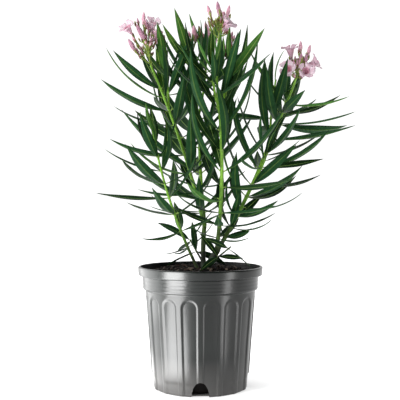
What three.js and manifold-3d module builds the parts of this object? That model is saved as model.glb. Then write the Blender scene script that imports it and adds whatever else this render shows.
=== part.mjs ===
// A potted oleander in flower: a shrub with three stems in a round nursery pot.
// Millimetres, +Z up. The origin is the centre of the pot's flat underside, and the front faces -Y.
//
// The plant grows by one rule. Limbs are bowed, tapering lines. Leaves stand on them in whorls
// of three, each whorl turned by 60 degrees from the one below, and every leaf throws its own
// seeded dice for its small differences. A leaf that would touch another shoot swings aside,
// and is left out if it finds no room.
import * as THREE from 'three';
import { mergeVertices } from 'three/addons/utils/BufferGeometryUtils.js';
import Module from 'manifold-3d';

const wasm = await Module();
wasm.setup();

// Driving dimensions of the pot
const POT_HEIGHT = 245;
const RIM_RADIUS = 127.5;
const RIM_BAND = 18;
const COLLAR_TOP_RADIUS = 118.3;
const COLLAR_FOOT_RADIUS = 117.6;
const COLLAR_FOOT_Z = 200;
const RIM_FOOT_Z = POT_HEIGHT - RIM_BAND;
const BODY_TOP_RADIUS = 112.8;
const BODY_FOOT_RADIUS = 98.5;
const LIP_WALL = 4;
const LIP_ROUND = 1.5;
const WALL = 5;
const STEP_FILLET = 4;
const FLOOR = 3;
const FLUTES = 16;
const FLUTE_ANGLE = THREE.MathUtils.degToRad(17.5);
const FLUTE_TOP_Z = 188.5;
const FLUTE_DEPTH = 2.8;
const DRAIN_NOTCHES = 4;
const DRAIN_WIDTH = 34;
const DRAIN_HEIGHT = 29;
const POT_FACETS = 32;
const ARCH_FACETS = 6;
const CUTTER_MARGIN = 5;

// Potting mix
const SOIL_Z = 242;
const SOIL_FLAT_RADIUS = 56;

// Clearances and leaf proportions
const GAP = 0.3;
const LEAF_CLEARANCE = 0.5;
const LEAF_THICKNESS = 1 / 80;
const LEAF_BASE_WIDTH = 9;
const LEAF_WIDTH_SHARE = 0.075;
const LEAF_STEPS = 8;
const FLARE = 1.3;
const FLARE_LENGTH = 14;

const UP = new THREE.Vector3(0, 0, 1);
const BACKWARD = new THREE.Vector3(0, 1, 0);
const vec = (x, y, z) => new THREE.Vector3(x, y, z);
const lerp = THREE.MathUtils.lerp;
const rad = THREE.MathUtils.degToRad;

// Seeded dice: the same keys always throw the same numbers

class Dice {
  constructor(...keys) {
    this.state = 20261;
    for (const key of keys) this.state = (Math.imul(this.state, 1664525) + 1013904223 + key * 69069) >>> 0;
    this.roll();
    this.roll();
  }
  roll() {
    this.state = (Math.imul(this.state, 1664525) + 1013904223) >>> 0;
    return this.state / 4294967296;
  }
  around(spread) {
    return (2 * this.roll() - 1) * spread;
  }
}

// Closed solids

function toSolid(points, triangles) {
  const vertProperties = new Float32Array(points.flatMap((p) => [p.x, p.y, p.z]));
  const triVerts = new Uint32Array(triangles);
  return new wasm.Manifold(new wasm.Mesh({ numProp: 3, vertProperties, triVerts }));
}

function geometryToSolid(geometry) {
  geometry.deleteAttribute('normal');
  geometry.deleteAttribute('uv');
  const merged = mergeVertices(geometry, 1e-4);
  const position = merged.getAttribute('position');
  const corner = (_, i) => new THREE.Vector3().fromBufferAttribute(position, i);
  const points = Array.from({ length: position.count }, corner);
  return toSolid(points, Array.from(merged.index.array));
}

function solidToGeometry(solid) {
  const mesh = solid.getMesh();
  const geometry = new THREE.BufferGeometry();
  const position = new THREE.BufferAttribute(new Float32Array(mesh.vertProperties), 3);
  geometry.setAttribute('position', position);
  geometry.setIndex(new THREE.BufferAttribute(new Uint32Array(mesh.triVerts), 1));
  geometry.computeVertexNormals();
  return geometry;
}

// A skin through rings of points that run counter-clockwise about the way they follow each other;
// a last ring of one point is a tip
function loft(rings) {
  const sides = rings[0].length;
  const points = rings.flat();
  const triangles = [];
  for (let i = 2; i < sides; i++) triangles.push(0, i, i - 1);
  for (let r = 0; r + 1 < rings.length; r++) {
    const low = r * sides;
    const high = low + sides;
    for (let i = 0; i < sides; i++) {
      const next = (i + 1) % sides;
      if (rings[r + 1].length === 1) {
        triangles.push(low + i, low + next, high);
      } else {
        triangles.push(low + i, low + next, high + next, low + i, high + next, high + i);
      }
    }
  }
  const last = (rings.length - 1) * sides;
  if (rings.at(-1).length > 1) {
    for (let i = 2; i < sides; i++) triangles.push(last, last + i - 1, last + i);
  }
  return toSolid(points, triangles);
}

// A ring about a point: two directions across the way, and a radius for each corner
function ring(centre, way, sides, radiusOf) {
  const side = new THREE.Vector3().crossVectors(BACKWARD, way).normalize();
  const back = new THREE.Vector3().crossVectors(way, side);
  return Array.from({ length: sides }, (_, i) => {
    const angle = (2 * Math.PI * i) / sides;
    const radius = radiusOf(i);
    return centre.clone()
      .addScaledVector(side, radius * Math.cos(angle))
      .addScaledVector(back, radius * Math.sin(angle));
  });
}

const sameRadius = (radius) => () => radius;

// Limbs: a bowed line from foot to tip that tapers evenly

class Limb {
  constructor(foot, tip, bow, footRadius, tipRadius) {
    this.foot = foot;
    this.tip = tip;
    this.middle = foot.clone().add(tip).multiplyScalar(0.5).add(vec(2 * bow[0], 2 * bow[1], 0));
    this.footRadius = footRadius;
    this.tipRadius = tipRadius;
    this.flare = 1;
  }
  at(share) {
    const rest = 1 - share;
    return this.foot.clone().multiplyScalar(rest * rest)
      .addScaledVector(this.middle, 2 * share * rest)
      .addScaledVector(this.tip, share * share);
  }
  run(share) {
    return this.middle.clone().sub(this.foot).multiplyScalar(2 * (1 - share))
      .addScaledVector(this.tip.clone().sub(this.middle), 2 * share);
  }
  way(share) {
    return this.run(share).normalize();
  }
  radius(share) {
    const height = share * this.run(share).length();
    const swell = 1 + (this.flare - 1) * Math.max(0, 1 - height / FLARE_LENGTH) ** 2;
    return lerp(this.footRadius, this.tipRadius, share) * swell;
  }
}

// A stretch of a limb; extra is added to its radius and to both ends
function stretch(limb, from, to, sides, steps, extra, level) {
  const rings = [];
  for (let i = 0; i <= steps; i++) {
    const share = lerp(from, to, i / steps);
    const centre = limb.at(share);
    const way = limb.way(share);
    if (i === 0) centre.addScaledVector(way, -extra);
    if (i === steps) centre.addScaledVector(way, extra);
    const flat = level && i === 0;
    rings.push(ring(centre, flat ? UP : way, sides, sameRadius(limb.radius(share) + extra)));
  }
  return loft(rings);
}

// The limbs: foot, tip, how far the middle bows to the right and to the back, radii at foot and tip.
// A side limb starts on its parent's middle line, at a share of the parent's length.

const left = new Limb(vec(-6, -22, SOIL_Z + GAP), vec(-95, -60, 526), [-12, 0], 3.1, 1.8);
const backTrunk = new Limb(vec(7, 20, SOIL_Z + GAP), vec(9, 30, 330), [-2, 0], 5.2, 4.6);
const back = new Limb(backTrunk.at(1), vec(-3, 100, 567), [-3, 8], 4, 2.9);
const inner = new Limb(backTrunk.at(0.93), vec(-102, 5, 656), [9, 0], 3.9, 2.2);
const innerLeafy = new Limb(inner.at(0.74), vec(-77, 40, 683), [3, 0], 3, 1.8);
const backLeft = new Limb(back.at(0.94), vec(-18, 80, 697), [-2, 0], 2.8, 1.9);
const backRight = new Limb(back.at(1), vec(14, 140, 713), [4, 0], 2.8, 1.9);
const frontTrunk = new Limb(vec(12, -14, SOIL_Z + GAP), vec(36, -22, 281), [0, 0], 6.8, 6);
const right = new Limb(frontTrunk.at(1), vec(148, 10, 516), [8, 0], 4.4, 3.2);
const centre = new Limb(frontTrunk.at(0.85), vec(36, -85, 566), [8, 0], 4.2, 3.1);
const centreLeft = new Limb(centre.at(0.95), vec(22, -125, 629), [-3, 0], 2.6, 1.8);
const centreTop = new Limb(centre.at(1), vec(35, -95, 688), [-4, 0], 3, 1.8);
const centreRight = new Limb(centre.at(0.97), vec(58, -70, 642), [3, 0], 2.6, 1.8);
const rightTop = new Limb(right.at(1), vec(195, -10, 628), [3, 0], 3.2, 2);
const rightUpper = new Limb(right.at(0.95), vec(161, 60, 636), [-3, 0], 2.8, 1.8);
const rightBack = new Limb(right.at(0.9), vec(189, 120, 601), [3, 0], 2.8, 1.8);
const rightSide = new Limb(right.at(0.58), vec(133, -45, 474), [3, 0], 2.3, 1.4);
const footFront = new Limb(frontTrunk.at(0.15), vec(60, -62, 288), [0, 0], 2.3, 1.5);
const footBack = new Limb(backTrunk.at(0.06), vec(-22, 65, 295), [0, 0], 2.3, 1.5);
for (const stem of [left, backTrunk, frontTrunk]) stem.flare = FLARE;

// Blossoms of a flower head, each from the tip of its limb: where its calyx sits, and how its
// bud or its open flower reaches on from there
const bud = (x, y, z, aimX, aimY, aimZ) => ({ calyx: vec(x, y, z), aim: vec(aimX, aimY, aimZ) });
const flower = (x, y, z, aimX, aimY, aimZ) => ({ ...bud(x, y, z, aimX, aimY, aimZ), open: true });

const leftHead = [
  flower(-37, -8, 62, -10, -12, 12), flower(2, 12, 72, 2, -11, 16), bud(-25, 0, 84, -3, 0, 15),
  bud(-15, -10, 82, 2, -3, 26), bud(-4, 5, 72, -6, 0, 26), bud(-12, -18, 51, -16, -6, 29),
  bud(-29, -12, 25, -16, -5, 27), bud(-2, -15, 43, 6, -2, 12), bud(-18, 30, 60, -8, 12, 20),
  flower(2, 35, 58, 6, 15, 12),
];
const centreHead = [
  bud(-14, 5, 44, -8, 0, 24), bud(2, -6, 44, -5, -3, 28), bud(7, 8, 38, 2, 3, 20),
  bud(16, 0, 42, 5, 0, 25), flower(7, -14, 14, 11, -7, 13), bud(-16, -6, 23, -5, -2, 12),
  bud(4, 18, 30, 4, 14, 18),
];
const sideHead = [bud(0, 0, 47, 5, 0, 21), bud(-5, 10, 30, -4, 5, 14)];
const rightHead = [
  flower(-8, 10, 37, -3, 0, 25), bud(10, 5, 53, 0, 2, 25), bud(24, 6, 45, 6, 2, 25),
  bud(6, -12, 24, 3, -4, 25), bud(16, -8, 24, 5, -2, 22), flower(-12, -10, 8, -8, -18, 6),
  flower(11, -11, 5, 5, -19, 5), flower(21, 5, 22, 18, -5, 10), flower(2, 16, 20, 2, 18, 10),
  bud(14, 18, 30, 5, 10, 20),
];
const backLeftHead = [bud(7, 0, 24, -4, 0, 36), bud(18, 5, 42, -2, 0, 17), bud(-6, 8, 30, -5, 4, 18)];
const backRightHead = [
  bud(6, 0, 35, -10, 0, 30), bud(-8, 8, 30, -4, 6, 20), flower(4, 16, 26, 4, 18, 10),
];

// The foliage masses, each on one limb: its whorls from the first to the last as shares of the limb,
// the turn of its first whorl, then at its first and last whorl the leaves' length and their angle
// to the stem, how far they curve up, and the seed of its dice
function mass(name, limb, whorls, from, to, turn, length, angle, curve, seed, head = []) {
  return { name, limb, whorls, from, to, turn, length, angle, curve, seed, head };
}

const masses = [
  mass('foliage_left_low', left, 4, 0.15, 0.5, 20, [85, 160], [95, 75], 35, 32),
  mass('foliage_left_top', left, 5, 0.6, 0.95, 10, [160, 55], [80, 20], 50, 66),
  mass('foliage_inner_low', inner, 4, 0.1, 0.45, 30, [115, 170], [80, 80], 60, 46),
  mass('foliage_inner_middle', inner, 4, 0.55, 0.8, 110, [160, 155], [80, 60], 40, 93),
  mass('foliage_inner_top', inner, 1, 0.85, 0.85, 100, [115, 115], [50, 45], 35, 27, leftHead),
  mass('foliage_right_low', right, 5, 0.1, 0.45, 70, [70, 145], [75, 75], 70, 20),
  mass('foliage_right_middle', right, 4, 0.55, 0.95, 40, [160, 165], [70, 65], 45, 47),
  mass('foliage_right_top', rightTop, 3, 0.2, 0.55, 90, [150, 130], [80, 80], 40, 36, rightHead),
  mass('foliage_centre_low', centre, 5, 0.1, 0.45, 80, [85, 180], [95, 80], 45, 51),
  mass('foliage_centre_middle', centre, 4, 0.55, 0.95, 100, [180, 185], [60, 45], 60, 76),
  mass('foliage_centre_top', centreTop, 2, 0.15, 0.4, 100, [130, 95], [60, 45], 25, 56, centreHead),
  mass('foliage_back_low', back, 4, 0.1, 0.45, 40, [145, 195], [80, 70], 45, 21),
  mass('foliage_back_middle', back, 4, 0.55, 0.95, 0, [235, 220], [60, 70], 65, 87),
  mass('foliage_back_right_top', backRight, 3, 0.35, 0.95, 80, [150, 100], [50, 35], 35, 59, backRightHead),
  mass('foliage_centre_left_top', centreLeft, 3, 0.35, 0.95, 100, [130, 75], [60, 25], 30, 25),
  mass('foliage_centre_right_top', centreRight, 3, 0.35, 0.95, 10, [150, 85], [55, 45], 25, 68, sideHead),
  mass('foliage_right_upper', rightUpper, 3, 0.35, 0.95, 50, [145, 90], [80, 15], 40, 32),
  mass('foliage_right_back', rightBack, 3, 0.45, 0.95, 0, [165, 100], [75, 35], 55, 27),
  mass('foliage_right_side', rightSide, 3, 0.5, 0.95, 20, [140, 70], [75, 10], 35, 82),
  mass('foliage_back_left_top', backLeft, 3, 0.3, 0.75, 20, [170, 130], [55, 40], 40, 56, backLeftHead),
  mass('foliage_inner_leafy_top', innerLeafy, 3, 0.25, 0.95, 60, [145, 80], [70, 20], 40, 64),
  mass('foliage_foot_front', footFront, 2, 0.45, 0.9, 40, [65, 65], [80, 65], -15, 18),
  mass('foliage_foot_back', footBack, 2, 0.5, 0.95, 60, [85, 85], [80, 55], -5, 44),
];

// How much a leaf may differ from its whorl's values: degrees, a share of its length, degrees, degrees
const TURN_SPREAD = 14;
const ANGLE_SPREAD = 10;
const LENGTH_SPREAD = 0.14;
const ROLL_SPREAD = 25;
const CURVE_SPREAD = 16;
const SAG = 0.1;
// Where a leaf that touches something swings to, in degrees around its stem, until it is clear
const SWINGS = [0, 9, -9, 18, -18, 27, -27];

// The middle line of a leaf: points with the way it runs and the way its upper face looks
function leafLine(limb, share, turn, angle, roll, length, curve, sag) {
  const stem = limb.way(share);
  const side = new THREE.Vector3().crossVectors(BACKWARD, stem).normalize();
  const behind = new THREE.Vector3().crossVectors(stem, side);
  const out = side.multiplyScalar(Math.cos(turn)).addScaledVector(behind, Math.sin(turn));
  let way = stem.clone().multiplyScalar(Math.cos(angle)).addScaledVector(out, Math.sin(angle)).normalize();
  const face = stem.clone().multiplyScalar(Math.sin(angle)).addScaledVector(out, -Math.cos(angle)).normalize();
  const edge = new THREE.Vector3().crossVectors(way, face);
  let upper = face.multiplyScalar(Math.cos(roll)).addScaledVector(edge, Math.sin(roll));
  let point = limb.at(share);
  const line = [{ point, way, upper }];
  for (let i = 0; i < LEAF_STEPS; i++) {
    const next = way.clone().multiplyScalar(Math.cos(curve / LEAF_STEPS))
      .addScaledVector(upper, Math.sin(curve / LEAF_STEPS))
      .addScaledVector(UP, -sag / LEAF_STEPS)
      .normalize();
    point = point.clone().addScaledVector(way.clone().add(next).normalize(), length / LEAF_STEPS);
    upper = upper.clone().addScaledVector(next, -upper.dot(next)).normalize();
    way = next;
    line.push({ point, way, upper });
  }
  return line;
}

// The outline of an oleander leaf: a short stalk, widest at the middle, and a long point.
// Each row is a step of the middle line and the share of the full width there.
const OUTLINE = [[0, 0.14], [2, 0.78], [4, 1], [6, 0.66]];

// A leaf is a flat upper face over a keel; clear is added all round for the test of its room
function leafSolid(line, length, firstRow, clear) {
  const half = (LEAF_BASE_WIDTH + LEAF_WIDTH_SHARE * length) / 2;
  const rings = OUTLINE.slice(firstRow).map(([step, share]) => {
    const { point, way, upper } = line[step];
    const edge = new THREE.Vector3().crossVectors(way, upper);
    const width = half * share + clear;
    const corners = [
      point.clone().addScaledVector(edge, width),
      point.clone().addScaledVector(upper, -length * LEAF_THICKNESS - clear),
      point.clone().addScaledVector(edge, -width),
    ];
    if (clear) corners.push(point.clone().addScaledVector(upper, clear));
    return corners;
  });
  const end = line.at(-1);
  return loft([...rings, [end.point.clone().addScaledVector(end.way, clear)]]);
}

// Blossoms

const RACHIS_SHARE = 0.5;
const RACHIS_RADIUS = 1.5;
const STALK_RADIUS = 1;
const STALK_SIDES = 3;
const STALK_SINK = 0.1;
const BUD_SIDES = 4;
const BUD_OUTLINE = [[0, 0.09], [0.3, 0.17], [0.65, 0.14]];
const PETALS = 5;
const TUBE_RADIUS = 2.2;
const FUNNEL_RADIUS = 5;
const FUNNEL_SHARE = 0.6;
const PETAL_REACH = 17;
const NOTCH_REACH = 8;
const PETAL_THICKNESS = 1.2;
const THROAT = 0.75;

function budSolid(calyx, aim) {
  const way = aim.clone().normalize();
  const length = aim.length();
  const rings = BUD_OUTLINE.map(([share, radius]) =>
    ring(calyx.clone().addScaledVector(aim, share), way, BUD_SIDES, sameRadius(radius * length)));
  return loft([...rings, [calyx.clone().add(aim)]]);
}

// An open flower: a narrow tube that opens into five petals around a throat
function flowerSolid(calyx, aim) {
  const way = aim.clone().normalize();
  const star = (i) => (i % 2 ? NOTCH_REACH : PETAL_REACH);
  const mouth = calyx.clone().add(aim);
  return loft([
    ring(calyx, way, 2 * PETALS, sameRadius(TUBE_RADIUS)),
    ring(calyx.clone().addScaledVector(aim, FUNNEL_SHARE), way, 2 * PETALS, sameRadius(FUNNEL_RADIUS)),
    ring(mouth, way, 2 * PETALS, star),
    ring(mouth.clone().addScaledVector(way, PETAL_THICKNESS), way, 2 * PETALS, star),
    [calyx.clone().addScaledVector(aim, THROAT)],
  ]);
}

function stalkSolid(foot, tip, footRadius) {
  const stalk = new Limb(foot, tip, [0, 0], footRadius, STALK_RADIUS);
  return stretch(stalk, 0, 1, STALK_SIDES, 1, 0, false);
}

// A head's stalks branch off one main stalk, which goes half way to the middle of the blossoms.
// The further out a blossom stands, the higher its stalk leaves the main one.
function headSolids(limb, blossoms) {
  const middle = vec(0, 0, 0);
  for (const { calyx } of blossoms) middle.addScaledVector(calyx, 1 / blossoms.length);
  const foot = limb.tip;
  const rachis = middle.clone().multiplyScalar(RACHIS_SHARE);
  const start = limb.at(0.98);
  const solids = [stalkSolid(start, foot.clone().add(rachis), RACHIS_RADIUS)];
  for (const { calyx, aim, open } of blossoms) {
    const place = foot.clone().add(calyx);
    const height = THREE.MathUtils.clamp(calyx.dot(middle) / middle.lengthSq() - RACHIS_SHARE, 0.1, 0.95);
    const branching = foot.clone().addScaledVector(rachis, height);
    solids.push(stalkSolid(branching, place.clone().addScaledVector(aim, STALK_SINK), STALK_RADIUS));
    solids.push(open ? flowerSolid(place, aim) : budSolid(place, aim));
  }
  return solids;
}

// The pot: a moulded wall with a rim band, a collar, arched flutes and drain notches at the foot

function bodyRadius(z) {
  return lerp(BODY_FOOT_RADIUS, BODY_TOP_RADIUS, z / COLLAR_FOOT_Z);
}

function latheSolid(profile) {
  const points = profile.map(([radius, z]) => new THREE.Vector2(radius, z));
  const geometry = new THREE.LatheGeometry(points, POT_FACETS);
  geometry.rotateX(Math.PI / 2);
  return geometryToSolid(geometry);
}

// An arch in the tangent plane, swept outwards from the flute's floor, which leans with the wall
function fluteCutter(turn) {
  const half = Math.sin(FLUTE_ANGLE / 2) * bodyRadius(FLUTE_TOP_Z);
  const shape = new THREE.Shape();
  shape.moveTo(-half, -CUTTER_MARGIN);
  shape.lineTo(half, -CUTTER_MARGIN);
  shape.lineTo(half, FLUTE_TOP_Z - half);
  shape.absarc(0, FLUTE_TOP_Z - half, half, 0, Math.PI);
  const depth = FLUTE_DEPTH + 2 * CUTTER_MARGIN;
  const options = { depth, bevelEnabled: false, curveSegments: ARCH_FACETS };
  const geometry = new THREE.ExtrudeGeometry(shape, options);
  const position = geometry.getAttribute('position');
  for (let i = 0; i < position.count; i++) {
    const narrow = bodyRadius(position.getY(i)) / bodyRadius(FLUTE_TOP_Z);
    const x = position.getX(i) * narrow;
    const z = position.getY(i);
    const radius = bodyRadius(z) - FLUTE_DEPTH + position.getZ(i);
    const right = radius * Math.sin(turn) + x * Math.cos(turn);
    const behind = x * Math.sin(turn) - radius * Math.cos(turn);
    position.setXYZ(i, right, behind, z);
  }
  return geometryToSolid(geometry);
}

function drainCutter(turn) {
  const shape = new THREE.Shape();
  shape.moveTo(-DRAIN_WIDTH / 2, -CUTTER_MARGIN);
  shape.lineTo(DRAIN_WIDTH / 2, -CUTTER_MARGIN);
  shape.lineTo(DRAIN_WIDTH / 2, 0);
  shape.absellipse(0, 0, DRAIN_WIDTH / 2, DRAIN_HEIGHT, 0, Math.PI);
  const depth = WALL + 4 * CUTTER_MARGIN;
  const options = { depth, bevelEnabled: false, curveSegments: ARCH_FACETS };
  const geometry = new THREE.ExtrudeGeometry(shape, options);
  geometry.rotateX(Math.PI / 2);
  geometry.translate(0, depth - BODY_TOP_RADIUS, 0);
  geometry.rotateZ(turn);
  return geometryToSolid(geometry);
}

// The inside of the pot from its top step down to its floor, drawn in by a clearance
function insideProfile(clearance) {
  const bodyTop = COLLAR_FOOT_Z - STEP_FILLET;
  return [
    [RIM_RADIUS - LIP_WALL - clearance, RIM_FOOT_Z + STEP_FILLET + clearance],
    [COLLAR_TOP_RADIUS - WALL - clearance, RIM_FOOT_Z + clearance],
    [COLLAR_FOOT_RADIUS - WALL - clearance, COLLAR_FOOT_Z + STEP_FILLET + clearance],
    [bodyRadius(bodyTop) - WALL - clearance, bodyTop],
    [bodyRadius(FLOOR) - WALL - clearance, FLOOR + clearance],
    [0, FLOOR + clearance],
  ];
}

function makePot() {
  let pot = latheSolid([
    [0, 0],
    [BODY_FOOT_RADIUS, 0],
    [BODY_TOP_RADIUS, COLLAR_FOOT_Z],
    [COLLAR_FOOT_RADIUS, COLLAR_FOOT_Z],
    [COLLAR_TOP_RADIUS, RIM_FOOT_Z],
    [RIM_RADIUS - LIP_ROUND, RIM_FOOT_Z],
    [RIM_RADIUS, POT_HEIGHT - 2 * LIP_ROUND],
    [RIM_RADIUS - LIP_ROUND, POT_HEIGHT],
    [RIM_RADIUS - LIP_WALL, POT_HEIGHT - LIP_ROUND],
    ...insideProfile(0),
  ]);
  for (let i = 0; i < FLUTES; i++) pot = pot.subtract(fluteCutter(((i + 0.5) * 2 * Math.PI) / FLUTES));
  for (let i = 0; i < DRAIN_NOTCHES; i++) pot = pot.subtract(drainCutter((i * 2 * Math.PI) / DRAIN_NOTCHES));
  return pot;
}

// The potting mix fills the pot to the step in its rim and is mounded up under the stems
function makePottingMix() {
  const fill = insideProfile(GAP);
  return latheSolid([...fill.reverse(), [SOIL_FLAT_RADIUS, SOIL_Z], [0, SOIL_Z]]);
}

// Growing the plant

const TRUNK_SIDES = 10;
const BOUGH_SIDES = 8;
const TWIG_SIDES = 5;
const RING_SPACING = 30;
const FLARE_RINGS = 2;
const STEM_BELOW_WHORL = 9;
const SINK = 2;

const overlaps = (a, b) => [0, 1, 2].every((i) => a.min[i] <= b.max[i] && b.min[i] <= a.max[i]);
const largest = (solid) => solid.decompose().sort((a, b) => b.volume() - a.volume())[0];
const limbSolids = [];

// A stretch of a limb that ends face to face with the next one, cut clear of the limbs made before it
function growStretch(limb, from, to, sides, level = false) {
  const length = (to - from) * limb.run(0.5).length();
  const steps = Math.max(2, Math.round(length / RING_SPACING)) + (level ? FLARE_RINGS : 0);
  let solid = stretch(limb, from, to, sides, steps, 0, level);
  for (const { swollen, box } of limbSolids) {
    if (overlaps(solid.boundingBox(), box)) solid = solid.subtract(swollen);
  }
  solid = largest(solid);
  const swollen = stretch(limb, from, to, sides, steps, GAP, level);
  limbSolids.push({ swollen, box: swollen.boundingBox() });
  return solid;
}

const firstShare = (entry) => entry.from - STEM_BELOW_WHORL / entry.limb.run(entry.from).length();

// The trunks and boughs, each up to its first whorl of leaves, and the stems of the masses
const bare = [
  { name: 'stem_left', limb: left, sides: BOUGH_SIDES, standing: true },
  { name: 'stem_back', limb: backTrunk, sides: TRUNK_SIDES, standing: true },
  { name: 'bough_back', limb: back, sides: BOUGH_SIDES },
  { name: 'bough_inner', limb: inner, sides: BOUGH_SIDES },
  { name: 'stem_front', limb: frontTrunk, sides: TRUNK_SIDES, standing: true },
  { name: 'bough_right', limb: right, sides: BOUGH_SIDES },
  { name: 'bough_centre', limb: centre, sides: BOUGH_SIDES },
];
const parts = [
  { name: 'pot', solid: makePot(), look: 'plastic' },
  { name: 'potting_mix', solid: makePottingMix(), look: 'mix' },
];
const pieces = parts.map(({ name, solid }) => ({ owner: name, solid, box: solid.boundingBox() }));
for (const { name, limb, sides, standing = false } of bare) {
  const leafy = masses.filter((entry) => entry.limb === limb);
  const from = standing ? 0 : -SINK / limb.run(0).length();
  const solid = growStretch(limb, from, leafy.length ? firstShare(leafy[0]) : 1, sides, standing);
  parts.push({ name, solid, look: 'bark' });
  pieces.push({ owner: name, solid, box: solid.boundingBox(), stem: true });
}

const limbOrder = [
  left, back, inner, right, centre, centreTop, rightTop, backRight, centreLeft, centreRight,
  rightUpper, rightBack, rightSide, backLeft, innerLeafy, footFront, footBack,
];
for (const limb of limbOrder) {
  const leafy = masses.filter((entry) => entry.limb === limb);
  const hasBough = bare.some((entry) => entry.limb === limb);
  leafy.forEach((entry, i) => {
    const from = i || hasBough ? firstShare(entry) : -SINK / limb.run(0).length();
    const to = i + 1 < leafy.length ? firstShare(leafy[i + 1]) : 1;
    const solid = growStretch(limb, from, to, TWIG_SIDES);
    entry.solids = [solid];
    pieces.push({ owner: entry.name, solid, box: solid.boundingBox(), stem: true });
  });
}
for (const entry of masses.filter(({ head }) => head.length)) {
  for (const solid of headSolids(entry.limb, entry.head)) {
    entry.solids.push(solid);
    pieces.push({ owner: entry.name, solid, box: solid.boundingBox() });
  }
}

// A leaf has room if it meets nothing of another mass, and its blade no leaf or blossom of its own
function hasRoom(name, whole, blade) {
  return pieces.every(({ owner, solid, box, stem }) => {
    if (owner === name && stem) return true;
    const probe = owner === name ? blade : whole;
    return !overlaps(probe.boundingBox(), box) || probe.intersect(solid).isEmpty();
  });
}

for (const entry of masses) {
  for (let whorl = 0; whorl < entry.whorls; whorl++) {
    const height = entry.whorls > 1 ? whorl / (entry.whorls - 1) : 0.5;
    const share = lerp(entry.from, entry.to, height);
    for (let leaf = 0; leaf < 3; leaf++) {
      const dice = new Dice(entry.seed, whorl, leaf);
      const turn = entry.turn + 60 * whorl + 120 * leaf + dice.around(TURN_SPREAD);
      const angle = rad(lerp(...entry.angle, height) + dice.around(ANGLE_SPREAD));
      const length = lerp(...entry.length, height) * (1 + dice.around(LENGTH_SPREAD));
      const roll = rad(dice.around(ROLL_SPREAD));
      const curve = rad(entry.curve + dice.around(CURVE_SPREAD));
      const sag = SAG + dice.around(SAG);
      for (const swing of SWINGS) {
        const line = leafLine(entry.limb, share, rad(turn + swing), angle, roll, length, curve, sag);
        const whole = leafSolid(line, length, 0, LEAF_CLEARANCE);
        const blade = leafSolid(line, length, 1, LEAF_CLEARANCE);
        if (!hasRoom(entry.name, whole, blade)) continue;
        const solid = leafSolid(line, length, 0, 0);
        entry.solids.push(solid);
        pieces.push({ owner: entry.name, solid, box: solid.boundingBox() });
        break;
      }
    }
  }
}
for (const { name, solids } of masses) {
  parts.push({ name, solid: wasm.Manifold.union(solids), look: 'leaf' });
}

const looks = {
  plastic: { color: '#4b4b50', roughness: 0.38, metalness: 0 },
  mix: { color: '#3b2a20', roughness: 0.95, metalness: 0 },
  bark: { color: '#7f9a3c', roughness: 0.6, metalness: 0 },
  leaf: { color: '#2c5a34', roughness: 0.45, metalness: 0 },
};

const oleander = new THREE.Group();
for (const { name, solid, look } of parts) {
  const mesh = new THREE.Mesh(solidToGeometry(solid), new THREE.MeshStandardMaterial(looks[look]));
  mesh.name = name;
  oleander.add(mesh);
}

export default oleander;
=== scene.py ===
# %% [markdown]
# # A potted oleander in flower
#
# This notebook dresses a young oleander in a nursery pot. The frame already holds the plant as
# plain solids: where each stem stands, where each leaf points, how high the flower heads reach.
# Here every one of them gets its real surface. Each step first says what the real thing is, how
# it could be made in Blender, and why one way was taken.

# %% Load the frame and keep its box
import math

import bpy
import numpy as np
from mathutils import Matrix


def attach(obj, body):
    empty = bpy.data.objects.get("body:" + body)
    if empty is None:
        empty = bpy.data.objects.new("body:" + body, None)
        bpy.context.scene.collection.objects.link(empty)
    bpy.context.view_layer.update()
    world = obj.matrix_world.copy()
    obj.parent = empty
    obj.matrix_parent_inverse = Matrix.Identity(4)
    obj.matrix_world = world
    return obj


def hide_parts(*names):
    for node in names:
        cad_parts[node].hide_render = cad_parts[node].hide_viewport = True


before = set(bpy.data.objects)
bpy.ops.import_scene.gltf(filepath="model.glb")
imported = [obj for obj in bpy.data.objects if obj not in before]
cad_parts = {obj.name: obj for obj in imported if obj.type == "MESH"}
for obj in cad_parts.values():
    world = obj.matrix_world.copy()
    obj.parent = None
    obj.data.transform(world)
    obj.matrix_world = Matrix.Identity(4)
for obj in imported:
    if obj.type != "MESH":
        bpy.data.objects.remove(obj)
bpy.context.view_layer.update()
MM = 0.001

# %% [markdown]
# ## Camera, floor and light
#
# The product was photographed at the height of its leaves, on white, from about a metre and a
# half. A long lens keeps the pot's sides nearly parallel. The eye level shows in the pot: its
# rim is seen from a little above, and the leaves at 38 cm are seen edge on.

# %% Camera
EYE_HEIGHT = 0.380
EYE_DISTANCE = 1.5375
EYE_SHIFT = -0.0008
HALF_VIEW = 0.410  # what the picture takes in to each side of the pot's axis
SENSOR = 36.0

lens_data = bpy.data.cameras.new("camera")
lens_data.sensor_width = SENSOR
lens_data.lens = 0.5 * SENSOR * EYE_DISTANCE / HALF_VIEW
camera = bpy.data.objects.new("camera", lens_data)
camera.location = (EYE_SHIFT, -EYE_DISTANCE, EYE_HEIGHT)
camera.rotation_euler = (math.radians(90), 0, 0)
bpy.context.scene.collection.objects.link(camera)
bpy.context.scene.camera = camera
bpy.context.scene.view_settings.view_transform = "Standard"
print("lens", round(lens_data.lens, 1), "mm")

# %% [markdown]
# Colours are written as sRGB hex values, as they are picked from a swatch. Blender's shaders
# calculate in linear light, so one function turns them. Another adds a shader node with its
# settings, its fixed inputs and the links that feed it, which is all that a material needs.

# %% Colour and node helpers
def linear(hex_colour, share=1):
    """An sRGB hex colour as linear RGBA, times a share for a darker or lighter shade."""
    steps = [int(hex_colour[i:i + 2], 16) / 255 for i in (1, 3, 5)]
    return [share * (s / 12.92 if s <= 0.04045 else ((s + 0.055) / 1.055) ** 2.4) for s in steps] + [1]


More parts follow.
